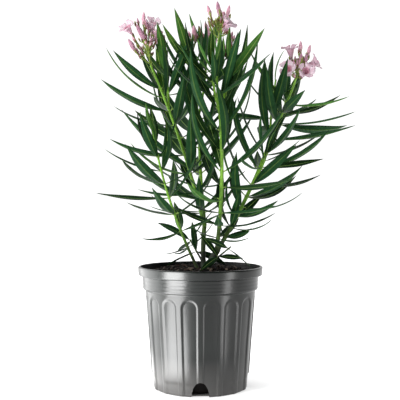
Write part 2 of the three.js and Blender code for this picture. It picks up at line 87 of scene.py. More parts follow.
def add(tree, kind, inputs=None, links=None, **settings):
    """A node of this kind with its settings, its fixed inputs, and the sockets that feed it."""
    made = tree.nodes.new(kind)
    for name, value in settings.items():
        setattr(made, name, value)
    for name, value in (inputs or {}).items():
        made.inputs[name].default_value = value
    for name, source in (links or {}).items():
        tree.links.new(source, made.inputs[name])
    return made


def per(size):
    """The texture scale at which a pattern repeats about every so many millimetres."""
    return 1000 / size


def new_surface(name, **inputs):
    """A material with a Principled shader on its output, and its node tree."""
    made = bpy.data.materials.get(name) or bpy.data.materials.new(name)
    made.use_nodes = True
    tree = made.node_tree
    tree.nodes.clear()
    words = {key.replace("_", " "): value for key, value in inputs.items()}
    shader = add(tree, "ShaderNodeBsdfPrincipled", words)
    add(tree, "ShaderNodeOutputMaterial", links={"Surface": shader.outputs["BSDF"]})
    return made, tree, shader


# %% [markdown]
# Whatever has grown or was moulded is a little cloudy in colour and has a fine relief. A texture
# painted by hand could give both, but only for one side and one distance. Two procedural textures
# give them everywhere, at sizes that are read off the real thing in millimetres.

# %% Cloudy surfaces
def cloudy_surface(name, cloud_size, cloud, stops, relief, relief_size, texture, height, **inputs):
    """A surface tinted in clouds between two stops and embossed with a fine texture.

    A stop is a place on the ramp and a linear colour, cloud and texture hold the two textures'
    own inputs, and height is the relief's strength and its depth in metres.
    """
    made, tree, shader = new_surface(name, **inputs)
    place = add(tree, "ShaderNodeTexCoord").outputs["Object"]
    clouds = add(tree, "ShaderNodeTexNoise", {"Scale": per(cloud_size), **cloud}, {"Vector": place})
    tone = add(tree, "ShaderNodeValToRGB", links={"Fac": clouds.outputs["Fac"]})
    for stop, (position, colour) in zip(tone.color_ramp.elements, stops):
        stop.position = position
        stop.color = colour
    tree.links.new(tone.outputs["Color"], shader.inputs["Base Color"])
    fine = add(tree, relief, {"Scale": per(relief_size), **texture}, {"Vector": place})
    bump = add(tree, "ShaderNodeBump", {"Strength": height[0], "Distance": height[1]},
               {"Height": fine.outputs[0]})
    tree.links.new(bump.outputs["Normal"], shader.inputs["Normal"])
    return made, tree, shader, tone.outputs["Color"]


# %% [markdown]
# The floor is a plain sheet of white studio paper. It is a large disc, so that no edge of it
# comes into any view from the front, and the wall behind it is as white as the lit paper.

# %% Floor
FLOOR_RADIUS = 14.0
paper = new_surface("matte_white_paper", Base_Color=linear("#f7f7f7"), Roughness=0.9, IOR=1.45)[0]
bpy.ops.mesh.primitive_circle_add(vertices=128, radius=FLOOR_RADIUS, fill_type="NGON")
floor = bpy.context.object
floor.name = "studio_floor"
floor.data.materials.append(paper)
print("floor", FLOOR_RADIUS, "m in radius")

# %% [markdown]
# The leaves have a sheen from the left and from above, so one softbox stands at the left front
# and another hangs over the plant. Both are small, so that one half of a folded leaf shines while
# the other stays dark. The paper is lit until it is pure white by a broad light of its own. Light
# linking keeps that light off the plant and the plant out of its way, which in a studio takes
# flags of black cloth and a paper sweep that is lit from behind.

# %% Lights
PAPER_LIGHT = 3.2
PAPER_LIGHT_WIDTH = math.radians(90)


def softbox(name, place, target, size, power):
    """A soft light that looks at its target."""
    data = bpy.data.lights.new(name, "AREA")
    data.shape = "RECTANGLE"
    data.size, data.size_y = size
    data.energy = power
    lamp = bpy.data.objects.new(name, data)
    bpy.context.scene.collection.objects.link(lamp)
    lamp.location = place
    lamp.visible_camera = False
    aim = np.array(target) - np.array(place)
    tilt = math.atan2(np.hypot(aim[0], aim[1]), -aim[2])
    lamp.rotation_euler = (tilt, 0, math.atan2(aim[1], aim[0]) - math.pi / 2)
    return lamp


def shine_only_on(lamp, thing):
    """Flag a lamp so that its light reaches one thing only."""
    group = bpy.data.collections.new(lamp.name + "_lights")
    group.objects.link(thing)
    lamp.light_linking.receiver_collection = group
    return group


softbox("left_softbox", (-1.33, -1.23, 1.05), (0, 0, 0.50), (0.45, 0.45), 20)
softbox("top_softbox", (-0.30, 0.10, 2.30), (0, 0, 0.40), (0.45, 0.45), 7)

sky_data = bpy.data.lights.new("paper_sky", "SUN")
sky_data.energy = PAPER_LIGHT
sky_data.angle = PAPER_LIGHT_WIDTH
paper_sky = bpy.data.objects.new("paper_sky", sky_data)
bpy.context.scene.collection.objects.link(paper_sky)
paper_sky.light_linking.blocker_collection = shine_only_on(paper_sky, floor)
print("lights", [lamp.name for lamp in bpy.data.lights])

# %% [markdown]
# The room itself: a brightly lit white wall behind the plant and to its left, which the photograph
# shows burnt out to pure white, and a dimmer room in front of it. One smooth gradient along a
# fixed direction in the world stands for both.

# %% World
BRIGHT_WAY = (-0.48, 0.82, -0.30)
FADE_START, FADE_END = -0.45, 0.15
WALL_LIGHT = 1.15
ROOM_LIGHT = 0.13
world = bpy.data.worlds.new("white_studio")
bpy.context.scene.world = world
world.use_nodes = True
tree = world.node_tree
way = add(tree, "ShaderNodeTexCoord").outputs["Generated"]
facing = add(tree, "ShaderNodeVectorMath", {1: BRIGHT_WAY}, {0: way}, operation="DOT_PRODUCT")
ends = {"From Min": FADE_START, "From Max": FADE_END, "To Min": ROOM_LIGHT, "To Max": WALL_LIGHT}
fade = add(tree, "ShaderNodeMapRange", ends, {"Value": facing.outputs["Value"]},
           interpolation_type="SMOOTHSTEP")
tree.links.new(fade.outputs["Result"], tree.nodes["Background"].inputs["Strength"])
tree.nodes["Background"].inputs["Color"].default_value = linear("#ffffff")
print("world light from", ROOM_LIGHT, "to", WALL_LIGHT)

# %% [markdown]
# ## Building meshes
#
# Everything here is a skin drawn through rings of points: a stem, a leaf, a petal, the pot
# itself. Blender could loft curves or skin edges, but hundreds of leaves are made quicker, and
# closed for certain, from plain lists of points and faces. A bundle collects many like things,
# each face with the number of its material, and becomes one object at the end.

# %% Bundles
class Bundle:
    """Points and faces of many like things, which become one mesh."""

    def __init__(self):
        self.points, self.faces, self.looks, self.total = [], [], [], 0

    def skin(self, rings, look, tip=None):
        """A closed skin through rings of as many points each. look is a number, or one number
        for each side of a ring; tip is a last point that closes the far end."""
        rings = np.asarray(rings, float)
        rows, sides = rings.shape[:2]
        looks = list(look) if hasattr(look, "__len__") else [look] * sides
        here = self.total + np.arange(rows * sides).reshape(rows, sides)
        beside = np.roll(here, -1, axis=1)
        walls = np.stack([here[:-1], beside[:-1], beside[1:], here[1:]], axis=-1)
        self.points.append(rings.reshape(-1, 3))
        self.faces += walls.reshape(-1, 4).tolist() + [here[0, ::-1].tolist()]
        self.looks += looks * (rows - 1) + looks[:1]
        self.total += rows * sides
        if tip is None:
            self.faces.append(here[-1].tolist())
            self.looks += looks[:1]
            return
        self.points.append(np.reshape(tip, (1, 3)))
        self.faces += np.stack([here[-1], beside[-1], np.full(sides, self.total)], axis=-1).tolist()
        self.looks += looks
        self.total += 1

    def make(self, name, materials, smooth=True):
        """One object in metres, in the frame."""
        mesh = bpy.data.meshes.new(name)
        mesh.from_pydata((np.concatenate(self.points) * MM).tolist(), [], self.faces)
        for material in materials:
            mesh.materials.append(material)
        mesh.polygons.foreach_set("material_index", self.looks)
        mesh.polygons.foreach_set("use_smooth", [smooth] * len(self.faces))
        mesh.update()
        made = bpy.data.objects.new(name, mesh)
        bpy.context.scene.collection.objects.link(made)
        print(name, "triangles", sum(len(face) - 2 for face in self.faces))
        return made


# %% [markdown]
# A few lines of geometry serve pot and plant alike: an even and a smooth way between two values,
# even turns about an axis, level rings about the pot's axis, and spokes that stand across any
# direction.

# %% Vectors, circles and spokes
BACKWARD = np.array([0.0, 1.0, 0.0])
UP = np.array([0.0, 0.0, 1.0])


def vec(*numbers):
    return np.array(numbers, float)


def unit(v):
    return v / np.linalg.norm(v)


def blend(low, high, share):
    """The value that lies a share of the way from the one to the other."""
    return low + (high - low) * share


def smoothstep(x):
    """0 below 0, 1 above 1, and an even swing between."""
    x = np.clip(x, 0, 1)
    return x * x * (3 - 2 * x)


def circle(count):
    """Even turns about an axis, in radians."""
    return np.arange(count) * math.tau / count


def hoop(radius, z, turn):
    """A level ring about the pot's axis, which starts at the front."""
    return np.stack([radius * np.sin(turn), -radius * np.cos(turn), z + 0 * turn], -1)


def spokes(way, turn):
    """The direction across a way at one turn, or a row of them at several."""
    side = unit(np.cross(BACKWARD, way))
    turn = np.asarray(turn)[..., None]
    return side * np.cos(turn) + np.cross(way, side) * np.sin(turn)


# %% [markdown]
# ## The pot
#
# A nursery pot of this kind is blow moulded from dark polyethylene, pressed against a steel mould
# that gives it a rim band, a ribbed collar and sixteen arched flutes that stiffen the thin wall.
# One lathe profile gives the turned shape. The flutes are pressed into it by a formula, since
# every point knows how far it is from the nearest arch. Sixteen flutes share the columns of the
# mesh evenly, so each is drawn by the same points.

# %% The pot's measures, in millimetres
POT_HEIGHT = 245
RIM_RADIUS = 127.5
RIM_FOOT_Z = 227
LIP_WIDTH = 5.2
COLLAR_TOP_RADIUS = 118.3
COLLAR_FOOT_RADIUS = 117.6
COLLAR_FOOT_Z = 200
BODY_TOP_RADIUS = 112.8
BODY_FOOT_RADIUS = 98.5
WALL = 2.6
FLOOR_THICKNESS = 3
FLUTES = 16
FLUTE_ANGLE = math.radians(17.5)
FLUTE_TOP_Z = 188.5
FLUTE_DEPTH = 2.1
FLUTE_EDGE = 2.9
RING_PITCH = 6.75
RING_HEIGHT = 0.9
FOOT_STEP_Z = 27
FOOT_STEP = 0.6
WAVES = [(0.22, 3, 0.021, 0), (0.16, 7, -0.035, 1)]  # height, number, slant and start of each
COLUMNS = 24 * FLUTES
OUTER_SPACING = 2.2
INNER_SPACING = 12


def body_radius(z):
    return BODY_FOOT_RADIUS + (BODY_TOP_RADIUS - BODY_FOOT_RADIUS) * z / COLLAR_FOOT_Z


def inside(z):
    """The radius of the body's inner face at a height, clear of the flutes."""
    return body_radius(z) - WALL - FLUTE_DEPTH


# %% [markdown]
# Moulded plastic has no sharp corner anywhere, and the roundings are what catches the light. The
# profile is written with sharp corners, then each corner is cut back by its radius and bridged
# with a small arc, and straight stretches get points at the spacing that the flutes need.

# %% The pot's profile
def rounded(corners, steps=4):
    """Points along a line of (radius, z, rounding) corners with each corner rounded."""
    line = []
    for i, (r, z, rounding) in enumerate(corners):
        here = vec(r, z)
        if rounding == 0 or i in (0, len(corners) - 1):
            line.append(here)
            continue
        into = here + unit(np.array(corners[i - 1][:2]) - here) * rounding
        out = here + unit(np.array(corners[i + 1][:2]) - here) * rounding
        for t in np.linspace(0, 1, steps + 1):
            line.append((1 - t) ** 2 * into + 2 * t * (1 - t) * here + t * t * out)
    return line


def spaced(line, spacing):
    """The same line with points at least this close together."""
    points = [line[0]]
    for a, b in zip(line, line[1:]):
        count = max(1, int(np.ceil(np.linalg.norm(b - a) / spacing)))
        points += [a + (b - a) * k / count for k in range(1, count + 1)]
    return points


outer_corners = [
    (0, 0, 0), (BODY_FOOT_RADIUS - FOOT_STEP, 0, 4), (body_radius(198), 198, 2),
    (COLLAR_FOOT_RADIUS, COLLAR_FOOT_Z, 1.6), (COLLAR_TOP_RADIUS, RIM_FOOT_Z, 1.6),
    (RIM_RADIUS - 1.2, RIM_FOOT_Z + 0.6, 1.8), (RIM_RADIUS, POT_HEIGHT, 3.4),
    (RIM_RADIUS - LIP_WIDTH, POT_HEIGHT - 0.3, 2.4),
]
inner_corners = [
    (RIM_RADIUS - LIP_WIDTH, POT_HEIGHT - 0.3, 0), (RIM_RADIUS - LIP_WIDTH - 0.4, RIM_FOOT_Z + 3, 2),
    (COLLAR_TOP_RADIUS - WALL, RIM_FOOT_Z, 1.5), (COLLAR_FOOT_RADIUS - WALL, COLLAR_FOOT_Z + 3, 1.5),
    (inside(190), 190, 3), (inside(FLOOR_THICKNESS), FLOOR_THICKNESS, 3), (0, FLOOR_THICKNESS, 0),
]
outer_line = spaced(rounded(outer_corners), OUTER_SPACING)[:-1]
inner_line = spaced(rounded(inner_corners), INNER_SPACING)
print("pot profile", len(outer_line), "outer points,", len(inner_line), "inner points")

# %% [markdown]
# A flute has one round end: below the centre of its head only the distance from the flute's
# middle line counts, above it the distance from that centre. Its edge falls off over a few
# millimetres, as hot plastic does not follow a sharp mould. Blow moulded walls are never quite
# even, so a shallow waviness is added that makes the reflections swim as the real ones do.

# %% Moulded relief
def pressed(radius, z, angle):
    """The radius of the outer wall at a height and an angle, with flutes, rings and waviness."""
    step = math.tau / FLUTES
    off_centre = np.abs((angle + step / 2) % step - step / 2)
    head = math.sin(FLUTE_ANGLE / 2) * body_radius(FLUTE_TOP_Z)
    across = off_centre * body_radius(FLUTE_TOP_Z)
    above = np.maximum(0, z - (FLUTE_TOP_Z - head))
    depth = head - np.hypot(across, above)
    on_body = z < COLLAR_FOOT_Z - 1
    flute = FLUTE_DEPTH * smoothstep(depth / FLUTE_EDGE) * on_body
    foot = FOOT_STEP * smoothstep((FOOT_STEP_Z - z) / 5) * on_body * smoothstep(z / 4)
    on_collar = (z > COLLAR_FOOT_Z + 0.8) & (z < RIM_FOOT_Z - 0.6) & (radius > COLLAR_FOOT_RADIUS - 1)
    ring = RING_HEIGHT * (np.abs(np.sin(math.pi * (z - COLLAR_FOOT_Z) / RING_PITCH)) ** 0.7 - 0.75)
    wave = sum(high * (np.sin(count * angle + slant * z + start) - 1)
               for high, count, slant, start in WAVES)
    loose = smoothstep((POT_HEIGHT - 6 - z) / 40) * smoothstep(z / 30)
    return radius - flute - foot + ring * on_collar + wave * loose


columns = circle(COLUMNS)
half_flute = math.pi / FLUTES
rings = [hoop(pressed(r, z, columns - half_flute) if z > 0.01 else r, z, columns)
         for r, z in outer_line[1:]]
rings += [hoop(r, z, columns) for r, z in inner_line[:-1]]
pot_bundle = Bundle()
pot_bundle.skin(rings, 0)
plastic = bpy.data.materials.new("blow_moulded_polyethylene")  # gets its nodes after the notches
pot = pot_bundle.make("pot_shell", [plastic])

# %% [markdown]
# Four drain notches are cut out of the wall at its foot, which is done to the real pot with a
# knife after moulding. A Boolean does the same here: a half ellipse, drawn out into a block, is
# taken away at each quarter.

# %% Drain notches
NOTCH_WIDTH = 34
NOTCH_HEIGHT = 29
NOTCHES = 4
NOTCH_REACH = (85, 112)
BELOW_FLOOR = -5
SHARP_ANGLE = math.radians(50)
arc = [(0.5 * NOTCH_WIDTH * math.cos(a), NOTCH_HEIGHT * math.sin(a)) for a in np.linspace(0, math.pi, 25)]
outline = [(x, z) for x, z in arc if z > 0]
outline += [(-NOTCH_WIDTH / 2, BELOW_FLOOR), (NOTCH_WIDTH / 2, BELOW_FLOOR)]
cutter_bundle = Bundle()
for turn in circle(NOTCHES):
    out = vec(math.sin(turn), -math.cos(turn), 0)
    along = vec(math.cos(turn), math.sin(turn), 0)
    cutter_bundle.skin([[along * x + out * reach + UP * z for x, z in outline] for reach in NOTCH_REACH], 0)
cutter = cutter_bundle.make("notch_cutter", [plastic])
cut = pot.modifiers.new("notches", "BOOLEAN")
cut.object = cutter
cut.operation = "DIFFERENCE"
cut.solver = "MANIFOLD"
bpy.context.view_layer.objects.active = pot
bpy.ops.object.modifier_apply(modifier="notches")
bpy.data.objects.remove(cutter)
pot.data.polygons.foreach_set("use_smooth", [True] * len(pot.data.polygons))
pot.data.set_sharp_from_angle(angle=SHARP_ANGLE)
print("pot after its notches", len(pot.data.polygons), "faces")

# %% [markdown]
# ** Polyethylene, blow moulded, nearly black.** Its refractive index is about 1.51. The mould was
# sand blasted, which leaves a fine grain, so highlights are broad and silky and never sharp. The
# grain is far under a millimetre in reality and is drawn at 2.6 mm, as coarse as it needs to be
# to show at all. Smears dull the shine here and there. The lowest hand's breadth of the wall is
# painted a lighter grey, the more the lower: a painted reflection of the bright paper it mirrors.

# %% Pot material
PLASTIC_CLOUD = 60
GRAIN = 2.6
SMEAR = 25
PAINTED_REFLECTION_TOP = 75 * MM
PAINTED_REFLECTION_SHARE = 0.65
PAINTED_REFLECTION_COLOUR = "#4b4a49"
plastic, tree, shader, black = cloudy_surface(
    "blow_moulded_polyethylene", PLASTIC_CLOUD, {"Detail": 4.0},
    [(0.35, linear("#080a09")), (0.7, linear("#0d100f"))],
    "ShaderNodeTexNoise", GRAIN, {"Detail": 3.0}, (0.6, 0.00018), IOR=1.51, Specular_IOR_Level=0.33)
place = add(tree, "ShaderNodeTexCoord").outputs["Object"]
height = add(tree, "ShaderNodeSeparateXYZ", links={"Vector": place}).outputs["Z"]
# painted reflection: the base colour turns a lighter grey towards the foot, for the lit paper that the
# lower wall mirrors
ends = {"From Min": PAINTED_REFLECTION_TOP, "From Max": 0.0, "To Max": PAINTED_REFLECTION_SHARE}
painted_reflection = add(tree, "ShaderNodeMapRange", ends, {"Value": height})
with_painted_reflection = add(tree, "ShaderNodeMixRGB", {"Color2": linear(PAINTED_REFLECTION_COLOUR)},
            {"Fac": painted_reflection.outputs["Result"], "Color1": black})
tree.links.new(with_painted_reflection.outputs["Color"], shader.inputs["Base Color"])
smear = add(tree, "ShaderNodeTexNoise", {"Scale": per(SMEAR), "Detail": 6.0, "Roughness": 0.7},
            {"Vector": place})
dull = add(tree, "ShaderNodeMapRange", {"To Min": 0.25, "To Max": 0.33}, {"Value": smear.outputs["Fac"]})
tree.links.new(dull.outputs["Result"], shader.inputs["Roughness"])
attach(pot, "root")
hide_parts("pot")

# %% [markdown]
# A dark glossy thing is lit by what it mirrors. The pot shows a broad bright band left of its
# middle, a narrow pale one at the right, and a bright left edge. Its wall leans in towards the
# foot, so it mirrors what is low and close. Hence five cards stand round the pot or lie on the
# paper, and light linking keeps their light for the pot alone.

# %% Cards that the pot mirrors
CARDS = [
    ("left_card", (-0.157, -0.168, 0.090), (0, 0, 0.210), (0.15, 0.20), 1.7),
    ("rim_card", (-0.134, -0.187, 0.235), (0, 0, 0.300), (0.11, 0.09), 0.85),
    ("left_floor_card", (-0.31, -0.02, 0.002), (-0.30, -0.02, 1), (0.50, 0.38), 1.8),
    ("left_wall_card", (-0.55, 0.15, 0.25), (0, 0, 0.15), (0.6, 0.5), 4.6),
    ("right_card", (0.193, -0.203, 0.145), (0, 0, 0.145), (0.05, 0.28), 0.4),
]
for name, place, target, size, power in CARDS:
    shine_only_on(softbox(name, place, target, size, power), pot)
print("cards", len(CARDS))

# %% [markdown]
# ## The plant's rule
#
# An oleander grows by a strict plan, loosely kept. Leaves stand in whorls of three, each whorl
# turned by 60 degrees from the one below, and every leaf bends up to the light by its own amount.
# The frame's solids were grown by this rule, so it is written again here: the same seeded dice,
# the same bowed limbs, the same middle line for each leaf. The surfaces come after.

# %% Dice and limbs
SOIL_Z = 242
GAP = 0.3
FLARE = 1.3
FLARE_LENGTH = 14
FIRST_STATE, MULTIPLIER, STEP, KEY_STEP = 20261, 1664525, 1013904223, 69069


class Dice:
    """Seeded dice: the same keys always throw the same numbers."""

    def __init__(self, *keys):
        self.state = FIRST_STATE
        for key in keys:
            self.state = (self.state * MULTIPLIER + STEP + key * KEY_STEP) % 2**32
        self.roll()
        self.roll()

    def roll(self):
        self.state = (self.state * MULTIPLIER + STEP) % 2**32
        return self.state / 2**32

    def around(self, spread):
        return (2 * self.roll() - 1) * spread

    def between(self, low, high):
        return blend(low, high, self.roll())


class Limb:
    """A bowed line from foot to tip that tapers evenly. sides is how round its skin is drawn."""

    def __init__(self, foot, tip, bow, foot_radius, tip_radius, sides=8, flare=1):
        self.foot, self.tip, self.sides, self.flare = foot, tip, sides, flare
        self.middle = (foot + tip) / 2 + 2 * vec(bow[0], bow[1], 0)
        self.foot_radius, self.tip_radius = foot_radius, tip_radius
        limbs.append(self)

    def at(self, share):
        rest = 1 - share
        return self.foot * rest**2 + self.middle * 2 * share * rest + self.tip * share**2

    def run(self, share):
        return (self.middle - self.foot) * 2 * (1 - share) + (self.tip - self.middle) * 2 * share

    def way(self, share):
        return unit(self.run(share))

    def radius(self, share):
        height = share * np.linalg.norm(self.run(share))
        swell = 1 + (self.flare - 1) * max(0, 1 - height / FLARE_LENGTH) ** 2
        return blend(self.foot_radius, self.tip_radius, share) * swell

    def length(self):
        return np.linalg.norm(self.run(0.5))


# %% [markdown]
# Three stems leave the soil. Each limb is named here by its foot, its tip, how far its middle
# bows to the right and to the back, and its radius at both ends. The three flare at their foot,
# and a side limb starts on its parent's middle line.

# %% The limbs
limbs = []
left = Limb(vec(-6, -22, SOIL_Z + GAP), vec(-95, -60, 526), [-12, 0], 3.1, 1.8, 10, FLARE)
back_trunk = Limb(vec(7, 20, SOIL_Z + GAP), vec(9, 30, 330), [-2, 0], 5.2, 4.6, 16, FLARE)
back = Limb(back_trunk.at(1), vec(-3, 100, 567), [-3, 8], 4, 2.9, 12)
inner = Limb(back_trunk.at(0.93), vec(-102, 5, 656), [9, 0], 3.9, 2.2, 12)
inner_leafy = Limb(inner.at(0.74), vec(-77, 40, 683), [3, 0], 3, 1.8)
back_left = Limb(back.at(0.94), vec(-18, 80, 697), [-2, 0], 2.8, 1.9)
back_right = Limb(back.at(1), vec(14, 140, 713), [4, 0], 2.8, 1.9)
front_trunk = Limb(vec(12, -14, SOIL_Z + GAP), vec(36, -22, 281), [0, 0], 6.8, 6, 16, FLARE)
right = Limb(front_trunk.at(1), vec(148, 10, 516), [8, 0], 4.4, 3.2, 12)
centre = Limb(front_trunk.at(0.85), vec(36, -85, 566), [8, 0], 4.2, 3.1, 12)
centre_left = Limb(centre.at(0.95), vec(22, -125, 629), [-3, 0], 2.6, 1.8)
centre_top = Limb(centre.at(1), vec(35, -95, 688), [-4, 0], 3, 1.8)
centre_right = Limb(centre.at(0.97), vec(58, -70, 642), [3, 0], 2.6, 1.8)
right_top = Limb(right.at(1), vec(195, -10, 628), [3, 0], 3.2, 2)
right_upper = Limb(right.at(0.95), vec(161, 60, 636), [-3, 0], 2.8, 1.8)
right_back = Limb(right.at(0.9), vec(189, 120, 601), [3, 0], 2.8, 1.8)
right_side = Limb(right.at(0.58), vec(133, -45, 474), [3, 0], 2.3, 1.4)
foot_front = Limb(front_trunk.at(0.15), vec(60, -62, 288), [0, 0], 2.3, 1.5)
foot_back = Limb(back_trunk.at(0.06), vec(-22, 65, 295), [0, 0], 2.3, 1.5)
print("limbs", len(limbs), "from", min(limb.tip_radius for limb in limbs), "mm in radius")

# %% [markdown]
# Each flower head is a list of blossoms, seen from the tip of its limb: where the calyx sits, and
# how far and which way the bud or the open flower reaches on from there.

# %% The flower heads
def bud(x, y, z, *aim):
    return {"calyx": vec(x, y, z), "aim": vec(*aim), "open": False}


def flower(x, y, z, *aim):
    return {"calyx": vec(x, y, z), "aim": vec(*aim), "open": True}


left_head = [
    flower(-37, -8, 62, -10, -12, 12), flower(2, 12, 72, 2, -11, 16), bud(-25, 0, 84, -3, 0, 15),
    bud(-15, -10, 82, 2, -3, 26), bud(-4, 5, 72, -6, 0, 26), bud(-12, -18, 51, -16, -6, 29),
    bud(-29, -12, 25, -16, -5, 27), bud(-2, -15, 43, 6, -2, 12), bud(-18, 30, 60, -8, 12, 20),
    flower(2, 35, 58, 6, 15, 12),
]
centre_head = [
    bud(-14, 5, 44, -8, 0, 24), bud(2, -6, 44, -5, -3, 28), bud(7, 8, 38, 2, 3, 20),
    bud(16, 0, 42, 5, 0, 25), flower(7, -14, 14, 11, -7, 13), bud(-16, -6, 23, -5, -2, 12),
    bud(4, 18, 30, 4, 14, 18),
]
side_head = [bud(0, 0, 47, 5, 0, 21), bud(-5, 10, 30, -4, 5, 14)]
right_head = [
    flower(-8, 10, 37, -3, 0, 25), bud(10, 5, 53, 0, 2, 25), bud(24, 6, 45, 6, 2, 25),
    bud(6, -12, 24, 3, -4, 25), bud(16, -8, 24, 5, -2, 22), flower(-12, -10, 8, -8, -18, 6),
    flower(11, -11, 5, 5, -19, 5), flower(21, 5, 22, 18, -5, 10), flower(2, 16, 20, 2, 18, 10),
    bud(14, 18, 30, 5, 10, 20),
]
back_head = [bud(7, 0, 24, -4, 0, 36), bud(18, 5, 42, -2, 0, 17), bud(-6, 8, 30, -5, 4, 18)]
rear_head = [
    bud(6, 0, 35, -10, 0, 30), bud(-8, 8, 30, -4, 6, 20), flower(4, 16, 26, 4, 18, 10),
]
heads = [left_head, centre_head, side_head, right_head, back_head, rear_head]
print("flower heads", len(heads), "with", sum(map(len, heads)), "blossoms")

# %% [markdown]
# The leafy stretches, from the foot of the plant to its tips. Each names its limb, how many
# whorls it has and between which shares of the limb, the turn of its first whorl, then at its
# first and last whorl the leaves' length and their angle to the stem, how far they curve up,
# the seed of its dice, and the flower head on its tip.

# %% The leafy stretches
MASSES = [
    ("foliage_left_low", left, 4, 0.15, 0.5, 20, [85, 160], [95, 75], 35, 32, []),
    ("foliage_left_top", left, 5, 0.6, 0.95, 10, [160, 55], [80, 20], 50, 66, []),
    ("foliage_inner_low", inner, 4, 0.1, 0.45, 30, [115, 170], [80, 80], 60, 46, []),
    ("foliage_inner_middle", inner, 4, 0.55, 0.8, 110, [160, 155], [80, 60], 40, 93, []),
    ("foliage_inner_top", inner, 1, 0.85, 0.85, 100, [115, 115], [50, 45], 35, 27, left_head),
    ("foliage_right_low", right, 5, 0.1, 0.45, 70, [70, 145], [75, 75], 70, 20, []),
    ("foliage_right_middle", right, 4, 0.55, 0.95, 40, [160, 165], [70, 65], 45, 47, []),
    ("foliage_right_top", right_top, 3, 0.2, 0.55, 90, [150, 130], [80, 80], 40, 36, right_head),
    ("foliage_centre_low", centre, 5, 0.1, 0.45, 80, [85, 180], [95, 80], 45, 51, []),
    ("foliage_centre_middle", centre, 4, 0.55, 0.95, 100, [180, 185], [60, 45], 60, 76, []),
    ("foliage_centre_top", centre_top, 2, 0.15, 0.4, 100, [130, 95], [60, 45], 25, 56, centre_head),
    ("foliage_back_low", back, 4, 0.1, 0.45, 40, [145, 195], [80, 70], 45, 21, []),
    ("foliage_back_middle", back, 4, 0.55, 0.95, 0, [235, 220], [60, 70], 65, 87, []),
    ("foliage_back_right_top", back_right, 3, 0.35, 0.95, 80, [150, 100], [50, 35], 35, 59, rear_head),
    ("foliage_centre_left_top", centre_left, 3, 0.35, 0.95, 100, [130, 75], [60, 25], 30, 25, []),
    ("foliage_centre_right_top", centre_right, 3, 0.35, 0.95, 10, [150, 85], [55, 45], 25, 68, side_head),
    ("foliage_right_upper", right_upper, 3, 0.35, 0.95, 50, [145, 90], [80, 15], 40, 32, []),
    ("foliage_right_back", right_back, 3, 0.45, 0.95, 0, [165, 100], [75, 35], 55, 27, []),
    ("foliage_right_side", right_side, 3, 0.5, 0.95, 20, [140, 70], [75, 10], 35, 82, []),
    ("foliage_back_left_top", back_left, 3, 0.3, 0.75, 20, [170, 130], [55, 40], 40, 56, back_head),
    ("foliage_inner_leafy_top", inner_leafy, 3, 0.25, 0.95, 60, [145, 80], [70, 20], 40, 64, []),
    ("foliage_foot_front", foot_front, 2, 0.45, 0.9, 40, [65, 65], [80, 65], -15, 18, []),
    ("foliage_foot_back", foot_back, 2, 0.5, 0.95, 60, [85, 85], [80, 55], -5, 44, []),
]
print("leafy stretches", len(MASSES))

# %% [markdown]
# A leaf that had touched another one when the solids were grown has swung aside by a few
# degrees, or was left out. The frame remembers that better than a second clash test could: a
# leaf stands at the first swing whose tip is really there among the corners of its solid.

# %% The middle line of a leaf
LEAF_STEPS = 8


def leaf_line(limb, share, turn, angle, roll, length, curve, sag):
    """The middle line of a leaf: its points, the way it runs and the way its upper face looks."""
    stem = limb.way(share)
    out = spokes(stem, turn)
    way = unit(stem * math.cos(angle) + out * math.sin(angle))
    face = unit(stem * math.sin(angle) - out * math.cos(angle))
    upper = face * math.cos(roll) + np.cross(way, face) * math.sin(roll)
    line = [(limb.at(share), way, upper)]
    bend = curve / LEAF_STEPS
    for _ in range(LEAF_STEPS):
        point, way, upper = line[-1]
        following = unit(way * math.cos(bend) + upper * math.sin(bend) - UP * sag / LEAF_STEPS)
        point = point + unit(way + following) * length / LEAF_STEPS
        upper = unit(upper - following * upper.dot(following))
        line.append((point, following, upper))
    return line


# %% Grow the middle lines of all leaves
TURN_SPREAD, ANGLE_SPREAD, LENGTH_SPREAD, ROLL_SPREAD, CURVE_SPREAD, SAG = 14, 10, 0.14, 25, 16, 0.1
SWINGS = [0, 9, -9, 18, -18, 27, -27]
WHORL_TURN = 60
TIP_TOLERANCE = 0.3
LONE_WHORL_YOUTH = 0.6
LOWER_YOUTH = 0.6


def climb(whorls):
    """How high each whorl of a stretch stands, from 0 at its first to 1 at its last."""
    return [whorl / (whorls - 1) for whorl in range(whorls)] if whorls > 1 else [0.5]


def corners_of(name):
    """The corners of a frame node, in millimetres."""
    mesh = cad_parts[name].data
    flat = np.zeros(3 * len(mesh.vertices), np.float32)
    mesh.vertices.foreach_get("co", flat)
    return flat.reshape(-1, 3) / MM


leaves = []
for name, limb, whorls, first, last, first_turn, lengths, slants, arch, seed, head in MASSES:
    corners = corners_of(name)
    for whorl, height in enumerate(climb(whorls)):
        share = blend(first, last, height)
        youth = height if whorls > 1 else LONE_WHORL_YOUTH
        youth *= 1 if name.endswith("_top") else LOWER_YOUTH
        for number in range(3):
            dice = Dice(seed, whorl, number)
            turn = first_turn + WHORL_TURN * whorl + 120 * number + dice.around(TURN_SPREAD)
            angle = blend(*slants, height) + dice.around(ANGLE_SPREAD)
            length = blend(*lengths, height) * (1 + dice.around(LENGTH_SPREAD))
            roll = dice.around(ROLL_SPREAD)
            curve = arch + dice.around(CURVE_SPREAD)
            sag = SAG + dice.around(SAG)
            for swing in SWINGS:
                line = leaf_line(limb, share, math.radians(turn + swing), math.radians(angle),
                                 math.radians(roll), length, math.radians(curve), sag)
                if np.linalg.norm(corners - line[-1][0], axis=1).min() < TIP_TOLERANCE:
                    leaves.append({"line": line, "length": length, "dice": dice, "youth": youth})
                    break
print("leaves", len(leaves), "of", 3 * sum(entry[2] for entry in MASSES))

